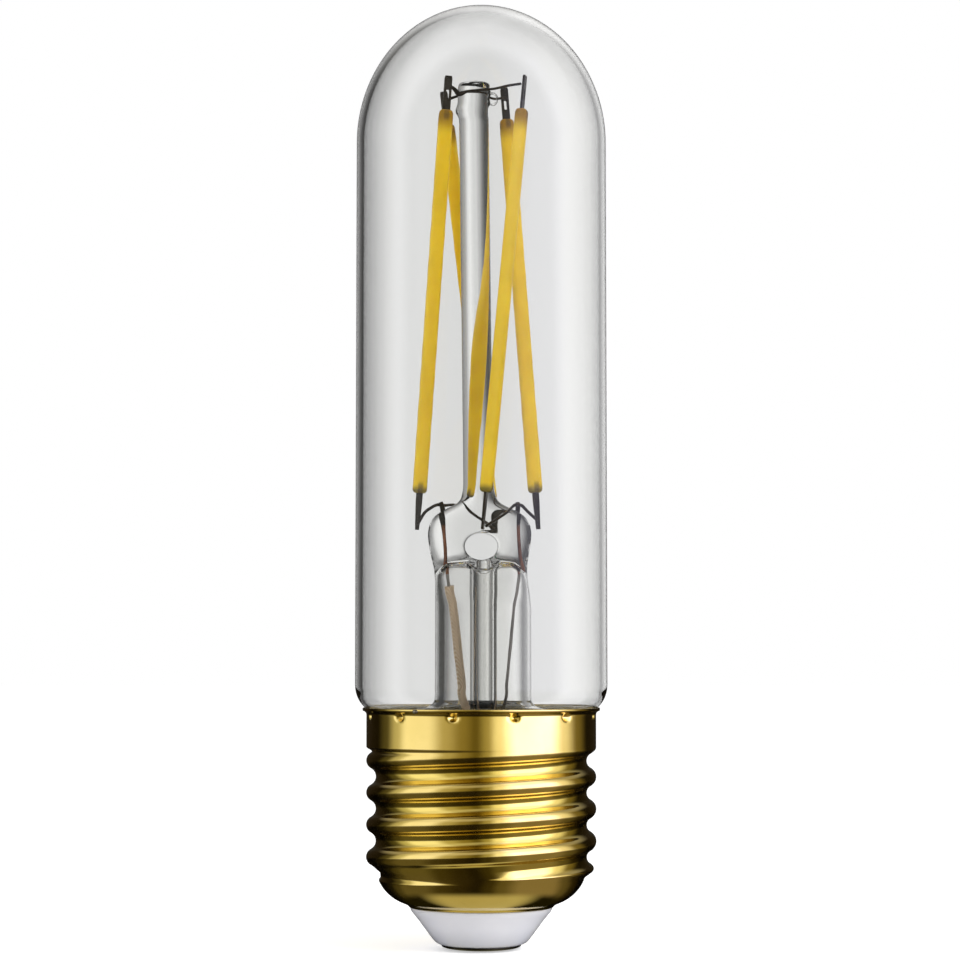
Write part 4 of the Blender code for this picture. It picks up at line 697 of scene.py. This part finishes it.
def phosphor_material(length):
    """Yellow silicone, amber at the top end, olive at the foot, with the tabs showing through."""
    made, tree, shader = new_material(
        "phosphor_silicone",
        Roughness=0.42,
        Specular_IOR_Level=0.15,
        Subsurface_Weight=0.25,
        Subsurface_Radius=(1.0, 0.6, 0.1),
        Subsurface_Scale=0.6 * MM,
    )
    run = attribute(tree, "along_mm")
    side = attribute(tree, "across")
    cloud = noise(tree, 260.0, 3.0)
    yellow = cloud.ramp([(0.3, PHOSPHOR), (0.62, PHOSPHOR_LIGHT)])
    rim = side.math("ABSOLUTE").eased(0.6, 1.0)
    yellow = mixed(tree, rim * 0.3, yellow, PHOSPHOR_RIM)
    from_top = run * -1.0 + length
    amber = mixed(tree, cloud, *AMBER)
    olive = mixed(tree, cloud, *OLIVE)
    body = mixed(tree, from_top.eased(0.7, 3.2), amber, yellow)
    body = mixed(tree, run.eased(0.25, 1.1), olive, body)
    pin = side.math("ABSOLUTE").eased(0.5, 0.2) * run.math("MINIMUM", from_top).eased(1.5, 0.8)
    feed(tree, shader.inputs["Base Color"], mixed(tree, pin * 0.6, body, TAB_SHADE))
    bump(tree, shader, noise(tree, 900.0, 2.0), 0.2, 0.05)
    return made


phosphor = None
for name, (top, foot, across) in FILAMENTS.items():
    strip, strip_length = strip_mesh(f"{name}_strip", top, foot, across)
    phosphor = phosphor or phosphor_material(strip_length)
    finished(strip, phosphor, "phosphor", name)


# Tabs: stamped nickel-plated steel, coloured a mottled dark brown-black, each with a slot that
# lets the silicone grip it. They keep their CAD shape with a fine stamped edge.
STAMPED_EDGE = 0.03
DARK_TAB_TONES = ((0.015, 0.011, 0.008), (0.06, 0.048, 0.036))
# Painted sheen: the grey that the tabs turn where they are seen almost edge on.
PAINTED_SHEEN_GREY = (0.36, 0.34, 0.31)
tab_metal, tree, shader = new_material("stamped_steel", Metallic=1.0)
stain = noise(tree, 500.0, 3.0, (1.0, 1.0, 0.4))
layer = tree.nodes.new("ShaderNodeLayerWeight")
layer.inputs["Blend"].default_value = 0.4
grazing = Term(tree, layer.outputs["Facing"])
dark_tab_mottle = stain.ramp([(0.3, DARK_TAB_TONES[0]), (0.7, DARK_TAB_TONES[1])])
# Painted sheen: lighter grey where the tab is seen almost edge on.
sheen = mixed(tree, grazing.eased(0.5, 0.85), dark_tab_mottle, PAINTED_SHEEN_GREY)
feed(tree, shader.inputs["Base Color"], sheen)
feed(tree, shader.inputs["Roughness"], stain.ramp([(0.3, 0.5), (0.7, 0.3)]))
bump(tree, shader, stain, 0.3, 0.03)


def reskin(name, material, bevel=0.0):
    """A CAD node that keeps its shape gets its material and, where it is stamped, an edge."""
    node = nodes[name]
    node.data.materials.clear()
    node.data.materials.append(material)
    if bevel:
        edge = node.modifiers.new("edge", "BEVEL")
        edge.width = bevel * MM
        edge.segments = 2
        edge.limit_method = "ANGLE"
        edge.angle_limit = math.radians(40)


for name in nodes:
    if name.endswith("_tab"):
        reskin(name, tab_metal, STAMPED_EDGE)


# Cross wires and lead-in wires: nickel wire bridges spot-welded to the tabs, copper-clad sealing
# wires drawn through the pinch, and tinned copper leads below, one in a woven sleeve.
WIRE_RADIUS = 0.18
# Each wire's metal and its points: place in mm and share of the full thickness.
WIRE_ROUTES = {
    "front_bridge_wire": ("nickel_wire", (
        (-3.85, -2.26, 98.39, 1.0), (-3.41, -1.9, 98.25, 1.0), (-2.97, -1.75, 97.92, 1.3),
        (-2.6, -1.9, 97.35, 1.7), (-2.1, -1.95, 97.5, 1.3), (-1.6, -2.0, 97.72, 0.9),
        (-0.72, -2.05, 97.8, 0.8), (0.1, -1.75, 97.93, 0.8), (0.71, -1.5, 98.0, 0.8),
        (1.81, -2.1, 98.02, 0.8), (3.15, -3.1, 98.15, 0.85), (4.49, -4.04, 98.1, 0.85),
    )),
    "back_bridge_wire": ("nickel_wire", (
        (-4.34, 1.88, 97.41, 1.0), (-3.25, 1.57, 97.8, 0.9), (-2.1, 1.95, 98.2, 0.8),
        (-0.86, 2.21, 98.4, 0.8), (0.45, 2.1, 98.2, 0.8), (1.1, 1.6, 97.7, 0.8),
        (1.71, 1.67, 97.6, 0.8), (2.3, 2.23, 97.85, 0.85), (2.89, 2.78, 97.95, 1.0),
    )),
    "left_cross_wire": ("nickel_wire", (
        (-7.38, 0.61, 47.86, 1.0), (-6.85, 0.64, 48.9, 1.0), (-6.4, 0.61, 49.55, 1.0),
        (-5.6, 0.36, 50.05, 1.0), (-5.09, 0.34, 50.3, 1.0), (-4.74, 0.48, 50.3, 1.1),
        (-4.52, 0.42, 50.25, 1.1), (-4.18, 0.36, 50.21, 1.0), (-3.7, 1.06, 50.31, 0.9),
        (-3.06, 2.1, 50.41, 0.9), (-2.23, 3.13, 50.21, 0.9), (-1.15, 4.05, 49.52, 0.9),
        (0.12, 4.98, 48.52, 1.0), (1.39, 5.9, 47.53, 1.0),
    )),
    "right_cross_wire": ("nickel_wire", (
        (6.32, 0.18, 48.6, 1.0), (5.56, 0.22, 49.27, 1.0), (5.0, 0.06, 49.83, 1.0),
        (4.63, -0.28, 50.21, 1.1), (4.15, -0.56, 50.21, 1.1), (3.9, -0.4, 50.29, 1.0),
        (3.49, -1.01, 49.95, 0.9), (3.2, -1.99, 49.58, 0.9), (2.77, -3.02, 49.14, 0.9),
        (2.13, -4.07, 48.65, 0.9), (1.35, -5.17, 48.1, 1.0), (0.56, -6.28, 47.54, 1.0),
    )),
    "left_sealing_wire": ("dumet_wire", (
        (-4.64, 0.0, 50.57, 1.3), (-4.45, 0.0, 50.1, 1.7), (-4.35, 0.0, 49.3, 1.5),
        (-4.3, 0.0, 48.6, 1.9), (-4.25, 0.0, 48.1, 1.5), (-4.15, 0.02, 47.0, 1.0),
        (-3.95, -0.02, 44.9, 1.0), (-3.68, 0.0, 42.27, 1.0),
    )),
    "right_sealing_wire": ("dumet_wire", (
        (4.16, 0.0, 50.57, 1.3), (4.2, 0.0, 50.0, 1.6), (4.15, 0.0, 49.3, 1.4),
        (4.12, 0.0, 48.6, 1.2), (4.1, 0.02, 47.6, 1.0), (4.2, -0.02, 44.9, 1.0),
        (4.12, 0.0, 42.27, 1.0),
    )),
    "left_outer_lead": ("tinned_copper", (
        (-3.68, 0.0, 42.27, 1.0), (-3.24, 0.88, 38.04, 1.0), (-2.8, 1.76, 33.81, 1.0),
        (-2.4, 2.52, 30.17, 1.0), (-1.84, 3.45, 25.73, 1.0), (-1.12, 4.59, 20.32, 1.0),
        (-0.67, 5.32, 16.83, 1.0), (-0.22, 6.05, 13.34, 1.0), (-0.22, 6.05, 10.94, 1.0),
    )),
    "right_outer_lead": ("tinned_copper", (
        (4.12, 0.0, 42.27, 1.0), (3.73, 0.25, 38.04, 1.0), (3.34, 0.5, 33.81, 1.0),
        (2.99, 0.72, 30.17, 1.0), (2.5, 0.99, 25.73, 1.0), (1.88, 1.31, 20.32, 1.0),
        (1.48, 1.52, 16.83, 1.0), (1.08, 1.73, 13.34, 1.0), (1.08, 1.73, 10.94, 1.0),
    )),
}
WELD_LOW = 47.5
WELD_HIGH = 48.1
# Dark and light tone of each wire metal, and its roughness.
METALS = {
    "nickel_wire": ((0.014, 0.009, 0.006), (0.06, 0.042, 0.028), 0.36),
    "dumet_wire": ((0.16, 0.045, 0.022), (0.4, 0.16, 0.08), 0.4),
    "tinned_copper": ((0.16, 0.14, 0.12), (0.42, 0.39, 0.35), 0.32),
}


def wire_material(name, dark, light, roughness):
    """Drawn wire, mottled along its length; the copper-clad wire is burnt dark at its weld."""
    made, tree, shader = new_material(name, Metallic=1.0, Roughness=roughness)
    mottle = noise(tree, 700.0, 3.0, (1.0, 1.0, 0.3))
    colour = mottle.ramp([(0.32, dark), (0.66, light)])
    if name == "dumet_wire":
        height = axes(tree, coordinates(tree))[2]
        welded = height.eased(WELD_LOW * MM, WELD_HIGH * MM)
        colour = mixed(tree, welded, colour, METALS["nickel_wire"][0])
    feed(tree, shader.inputs["Base Color"], colour)
    bump(tree, shader, mottle, 0.25, 0.02)
    return made


wire_metals = {name: wire_material(name, *values) for name, values in METALS.items()}


def drawn_wire(name, points):
    """A round wire on one smooth curve along the points, with closed ends."""
    data = bpy.data.curves.new(name, "CURVE")
    data.dimensions = "3D"
    data.bevel_depth = WIRE_RADIUS * MM
    data.bevel_resolution = 4
    data.use_fill_caps = True
    data.resolution_u = 8
    spline = data.splines.new("NURBS")
    spline.points.add(len(points) - 1)
    for point, (x, y, z, thickness) in zip(spline.points, points):
        point.co = (x * MM, y * MM, z * MM, 1.0)
        point.radius = thickness
    spline.order_u = 3
    spline.use_endpoint_u = True
    bent = placed(name, data)
    mesh = evaluated_mesh(bent)
    bpy.data.objects.remove(bent)
    return placed(name, mesh)


for name, (metal, points) in WIRE_ROUTES.items():
    finished(drawn_wire(f"{name}_drawn", points), wire_metals[metal], metal, name)

SLEEVE_TAN = (0.66, 0.44, 0.26)
SLEEVE_LIGHT = (0.98, 0.78, 0.54)
WEAVE_SCALE = 1900.0
sleeve_cloth, tree, shader = new_material("woven_sleeve", Roughness=0.85, Sheen_Weight=0.2)
weave = tree.nodes.new("ShaderNodeTexWave")
weave.inputs["Scale"].default_value = WEAVE_SCALE
weave.inputs["Distortion"].default_value = 1.5
weave.bands_direction = "DIAGONAL"
tree.links.new(coordinates(tree), weave.inputs["Vector"])
strands = Term(tree, weave.outputs["Fac"])
feed(tree, shader.inputs["Base Color"], strands.ramp([(0.0, SLEEVE_TAN), (1.0, SLEEVE_LIGHT)]))
bump(tree, shader, strands, 0.5, 0.06)
reskin("insulating_sleeve", sleeve_cloth)


# Cement: a ring of off-white basing cement between the neck of the glass and the shell. It is
# baked in place, fills the gap up to the rolled shoulder and is seen only through the glass.
CEMENT_LINE = [
    (11.45, 23.7), (12.7, 23.7), (12.7, 25.2), (12.1, 25.5), (12.05, 26.3), (11.85, 26.3),
    (11.65, 26.22), (11.5, 26.0), (11.45, 25.7),
]
CEMENT_SIDES = 128
CEMENT_DARK = (0.74, 0.71, 0.64)
CEMENT_LIGHT = (0.84, 0.82, 0.76)


def mottled(name, roughness, scale, detail, tones, strength, relief):
    """A plain material with cloudy tones, from dark to light, and a relief to match."""
    made, tree, shader = new_material(name, Roughness=roughness)
    cloud = noise(tree, scale, detail)
    feed(tree, shader.inputs["Base Color"], cloud.ramp([(0.3, tones[0]), (0.7, tones[1])]))
    bump(tree, shader, cloud, strength, relief)
    return made


plaster = mottled("baked_cement", 0.9, 450.0, 5.0, (CEMENT_DARK, CEMENT_LIGHT), 0.4, 0.08)
finished(lathed("basing_cement", CEMENT_LINE, CEMENT_SIDES), plaster, "insulator")


# Screw shell: thin brass sheet drawn to a cup, with the standard right-hand thread rolled into
# it and a ring of small punch marks that lock its collar to the neck of the glass.
SHELL_SIDES = 276
SHELL_TOP = 27.2
RIM_RADIUS = 13.5
RIM_ROUNDING = 0.15
COLLAR_FILLET = 0.45
COLLAR_TOP = 26.38
SHELL_RADIUS = 13.05
SHELL_WALL = 0.25
THREAD_ROW = 0.13
KNEE_TOP = 9.6
KNEE_RADIUS = 1.1
KNEE_SWEEP = 62
BOWL_CENTRE = (7.3, 9.72)
BOWL_RADIUS = 4.75
BOWL_START = 20
BOWL_END = 66
LIP_CURL = [(8.9, 5.24), (8.6, 5.12), (8.38, 4.99), (8.24, 4.87), (8.18, 4.78)]
# The sizes that the thread's tree takes, in metres where they are lengths.
ROLL = {
    "Pitch": 3.62 * MM,
    "Arc Radius": 1.025 * MM,
    "Crest Height": 19.4 * MM,
    "Thread Top": 22.75 * MM,
    "Thread Foot": 7.6 * MM,
    "Run In": 0.6 * MM,
    "Run Out": 1.2 * MM,
    "Mark Count": 12.0,
    "Mark Phase": 0.54,
    "Mark Height": 26.25 * MM,
    "Mark Radius": 0.62 * MM,
    "Mark Depth": 0.66 * MM,
}
GROOVE_MOUTH = 12.8
GROOVE_FLOOR = 11.95
GROOVE_LOWEST = 8.6
GROOVE_FULL = 9.6
BRASS_TONES = ((0.3, (0.76, 0.58, 0.2)), (0.55, (0.84, 0.65, 0.25)), (0.8, (0.92, 0.74, 0.32)))
# Painted reflection: the deeper yellow given to the thread's grooves.
GROOVE_REFLECTION_TONE = (0.8, 0.64, 0.12)
STREAK_TONE = (0.5, 0.33, 0.08)


def shell_line():
    """The outside of the turned shell from the rim down to the lip."""
    rim = arc((RIM_RADIUS - RIM_ROUNDING, SHELL_TOP - RIM_ROUNDING), RIM_ROUNDING, 90, 0, 4)
    collar = arc((SHELL_RADIUS + COLLAR_FILLET, COLLAR_TOP), COLLAR_FILLET, 95, 180, 8)
    rows = int((COLLAR_TOP - KNEE_TOP) / THREAD_ROW)
    step = (KNEE_TOP - COLLAR_TOP) / rows
    wall = [(SHELL_RADIUS, COLLAR_TOP + step * i) for i in range(1, rows)]
    knee = arc((SHELL_RADIUS - KNEE_RADIUS, KNEE_TOP), KNEE_RADIUS, 0, -KNEE_SWEEP, 10)
    bowl = arc(BOWL_CENTRE, BOWL_RADIUS, -BOWL_START, -BOWL_END, 20)
    return [*rim, *collar, *wall, *knee, *bowl, *LIP_CURL]


brass, tree, shader = new_material("rolled_brass", Metallic=1.0)
east, north, height = axes(tree, coordinates(tree))
reach = (east * east + north * north).math("SQRT")
deep = reach.eased(GROOVE_MOUTH * MM, GROOVE_FLOOR * MM)
groove_reflection = deep * height.eased(GROOVE_LOWEST * MM, GROOVE_FULL * MM)
patina = noise(tree, 130.0, 5.0)
streak = noise(tree, 420.0, 3.0, (1.0, 1.0, 0.25))
metal = patina.ramp(BRASS_TONES)
# Painted reflection: the grooves turn a deeper yellow, standing in for light bounced between
# flanks.
metal = mixed(tree, groove_reflection * 0.4, metal, GROOVE_REFLECTION_TONE)
metal = mixed(tree, streak.eased(0.62, 0.8) * 0.25, metal, STREAK_TONE)
feed(tree, shader.inputs["Base Color"], metal)
feed(tree, shader.inputs["Roughness"], patina.ramp([(0.25, 0.13), (0.75, 0.06)]))
bump(tree, shader, streak + patina * 2.0, 0.16, 0.04)


def blended(share, one, other):
    """one where share is 1, other where it is 0."""
    return share * one + (share * -1.0 + 1.0) * other


def rolled_tree(metal):
    """Geometry nodes that roll the thread and punch the collar of a plain turned shell."""
    tree = bpy.data.node_groups.new("rolled_thread", "GeometryNodeTree")
    tree.interface.new_socket("Geometry", in_out="INPUT", socket_type="NodeSocketGeometry")
    tree.interface.new_socket("Geometry", in_out="OUTPUT", socket_type="NodeSocketGeometry")
    for name in ROLL:
        tree.interface.new_socket(name, in_out="INPUT", socket_type="NodeSocketFloat")
    group_in = tree.nodes.new("NodeGroupInput")
    group_out = tree.nodes.new("NodeGroupOutput")
    values = {socket.name: Term(tree, socket) for socket in group_in.outputs}
    x, y, z = axes(tree, tree.nodes.new("GeometryNodeInputPosition").outputs[0])
    angle = y.math("ARCTAN2", x)
    radius = (x * x + y * y).math("SQRT")

    pitch, arc_radius = values["Pitch"], values["Arc Radius"]
    phase = (z - values["Crest Height"]) / pitch - angle / (2 * math.pi)
    away = (phase - phase.math("ROUND")).math("ABSOLUTE") * pitch
    quarter = pitch * 0.25
    to_root = pitch * 0.5 - away
    squared = arc_radius * arc_radius
    apart = (squared * 4.0 - pitch * pitch * 0.25).math("SQRT")
    near_crest = arc_radius - (squared - away * away).math("MAXIMUM", 0.0).math("SQRT")
    root_rise = (squared - to_root * to_root).math("MAXIMUM", 0.0).math("SQRT")
    near_root = arc_radius - apart + root_rise
    drop = blended(away.math("LESS_THAN", quarter), near_crest, near_root)
    entry = z.eased(values["Thread Top"], values["Thread Top"] - values["Run In"])
    leaving = z.eased(values["Thread Foot"], values["Thread Foot"] + values["Run Out"])
    thread = drop * entry * leaving

    count = values["Mark Count"]
    turn = angle * count / (2 * math.pi) - values["Mark Phase"]
    sideways = (turn - turn.math("ROUND")) / count * (2 * math.pi) * radius
    above = z - values["Mark Height"]
    distance = (sideways * sideways + above * above).math("SQRT")
    mark = distance.eased(values["Mark Radius"], 0.0) * values["Mark Depth"]

    share = (radius - thread - mark) / radius
    join = tree.nodes.new("ShaderNodeCombineXYZ")
    for target, value in zip(join.inputs, (x * share, y * share, z)):
        feed(tree, target, value)
    move = tree.nodes.new("GeometryNodeSetPosition")
    realize = tree.nodes.new("GeometryNodeRealizeInstances")
    dress = tree.nodes.new("GeometryNodeSetMaterial")
    dress.inputs["Material"].default_value = metal
    tree.links.new(group_in.outputs["Geometry"], move.inputs["Geometry"])
    tree.links.new(join.outputs[0], move.inputs["Position"])
    tree.links.new(move.outputs[0], realize.inputs[0])
    tree.links.new(realize.outputs[0], dress.inputs["Geometry"])
    tree.links.new(dress.outputs[0], group_out.inputs["Geometry"])
    return tree


def turned_skin(name, profile, sides):
    """Open skin of revolution, outward, from (radius, height) points in mm, top to bottom."""
    turns = np.arange(sides) * 2 * np.pi / sides
    points = [
        (r * math.cos(t) * MM, r * math.sin(t) * MM, z * MM) for r, z in profile for t in turns
    ]
    faces = []
    for high in range(0, (len(profile) - 1) * sides, sides):
        low = high + sides
        for i in range(sides):
            j = (i + 1) % sides
            faces.append((high + i, low + i, low + j, high + j))
    mesh = bpy.data.meshes.new(name)
    mesh.from_pydata(points, [], faces)
    return placed(name, mesh)


shell = turned_skin("rolled_shell", shell_line(), SHELL_SIDES)
roll = shell.modifiers.new("roll", "NODES")
roll.node_group = rolled_tree(brass)
for item in roll.node_group.interface.items_tree:
    if item.in_out == "INPUT" and item.name in ROLL:
        roll[item.identifier] = ROLL[item.name]
wall = shell.modifiers.new("wall", "SOLIDIFY")
wall.thickness = SHELL_WALL * MM
wall.offset = -1.0
as_plain_mesh(shell)
finished(shell, brass, "brass", "screw_shell")


# Insulator: a moulded off-white cup locked in the lip of the shell, tapering to the contact.
# Its flange is hidden inside the shell and its foot carries the rivet.
INSULATOR_LINE = [
    (11.29, 11.64), (10.79, 9.29), (10.45, 8.16), (9.48, 7.03), (8.24, 5.9), (7.75, 5.6),
    (7.75, 4.92), (7.9, 4.85), (8.03, 4.7), (8.0, 4.5), (7.88, 4.25), (7.62, 3.95), (7.3, 3.55),
    (6.94, 3.1), (6.58, 2.6), (6.2, 2.1), (5.84, 1.6), (5.52, 1.2), (5.25, 0.9), (5.08, 0.76),
    (4.88, 0.66), (4.68, 0.6), (4.5, 0.55), (1.5, 0.55), (1.5, 1.85), (4.6, 1.85), (6.45, 5.35),
    (6.45, 6.25), (10.09, 10.34), (10.09, 11.64),
]
INSULATOR_SIDES = 160
MOULDED_DARK = (0.77, 0.785, 0.88)
MOULDED_LIGHT = (0.85, 0.86, 0.94)
FOOT_SHADE = (0.45, 0.46, 0.52)
SHADE_TOP = 3.0
SHADE_FOOT = 0.6
insulator = lathed("moulded_insulator", INSULATOR_LINE, INSULATOR_SIDES)
insulator.data.set_sharp_from_angle(angle=math.radians(38))
moulding, tree, shader = new_material(
    "moulded_white", Roughness=0.16, Coat_Weight=0.35, Coat_Roughness=0.06
)
cloud = noise(tree, 170.0, 4.0)
base = cloud.ramp([(0.3, MOULDED_DARK), (0.7, MOULDED_LIGHT)])
height = axes(tree, coordinates(tree))[2]
shaded = height.eased(SHADE_TOP * MM, SHADE_FOOT * MM) * 0.45
base = mixed(tree, shaded, base, FOOT_SHADE)
feed(tree, shader.inputs["Base Color"], base)
bump(tree, shader, noise(tree, 380.0, 2.0), 0.08, 0.04)
finished(insulator, moulding, "insulator", "cap_insulator")


# Centre contact: a pressed and tinned brass cap on a hollow rivet that holds it to the foot of
# the insulator. It is the bulb's lowest point and the board's lead comes down in its rivet.
CONTACT_LINE = [
    (0, 0.55), (0.7, 0.55), (0.7, 3.95), (1.2, 3.95), (1.2, 0.55), (4.35, 0.55), (4.46, 0.52),
    (4.5, 0.45), (4.48, 0.37), (4.4, 0.3), (4.1, 0.2), (3.6, 0.11), (3.1, 0.05), (2.6, 0.015),
    (2.2, 0.0), (0, 0.0),
]
CONTACT_SIDES = 96
# Painted shade: the tinned contact is coloured nearly black, as it lies in shade at the foot.
CONTACT_SHADE_DARK = (0.012, 0.011, 0.009)
CONTACT_SHADE_LIGHT = (0.07, 0.065, 0.055)
contact = lathed("pressed_contact", CONTACT_LINE, CONTACT_SIDES)
contact.data.set_sharp_from_angle(angle=math.radians(45))
tinned, tree, shader = new_material("tinned_contact_painted_shade", Metallic=1.0)
wear = noise(tree, 300.0, 5.0)
# Painted shade: two near-black tones, mottled.
feed(tree, shader.inputs["Base Color"], wear.ramp([(0.3, CONTACT_SHADE_DARK), (0.7, CONTACT_SHADE_LIGHT)]))
feed(tree, shader.inputs["Roughness"], wear.ramp([(0.3, 0.5), (0.7, 0.3)]))
bump(tree, shader, wear, 0.3, 0.05)
finished(contact, tinned, "contact", "centre_contact")


# Driver: a round green board with its rectifier, chip, capacitor and fusible resistor, and the
# two leads to the contact and to the rim. The cap hides all of it, so it is finished plainly.
GREEN = ((0.03, 0.2, 0.09), (0.06, 0.3, 0.15))
BLACKISH = ((0.014, 0.014, 0.016), (0.035, 0.035, 0.038))
NAVY = ((0.03, 0.06, 0.16), (0.06, 0.1, 0.24))
SEA_GREEN = ((0.16, 0.34, 0.27), (0.26, 0.48, 0.39))
board_green = mottled("board_laminate", 0.45, 600.0, 4.0, GREEN, 0.1, 0.03)
epoxy = mottled("moulded_epoxy", 0.5, 1500.0, 3.0, BLACKISH, 0.3, 0.02)
can_sleeve = mottled("shrunk_sleeve", 0.3, 200.0, 2.0, NAVY, 0.2, 0.05)
lacquer = mottled("resistor_lacquer", 0.45, 500.0, 3.0, SEA_GREEN, 0.2, 0.04)
DRIVER = {
    "driver_board": board_green,
    "bridge_rectifier": epoxy,
    "driver_chip": epoxy,
    "smoothing_capacitor": can_sleeve,
    "fusible_resistor": lacquer,
    "contact_lead": wire_metals["tinned_copper"],
    "side_lead": wire_metals["tinned_copper"],
}
for name, material in DRIVER.items():
    reskin(name, material)
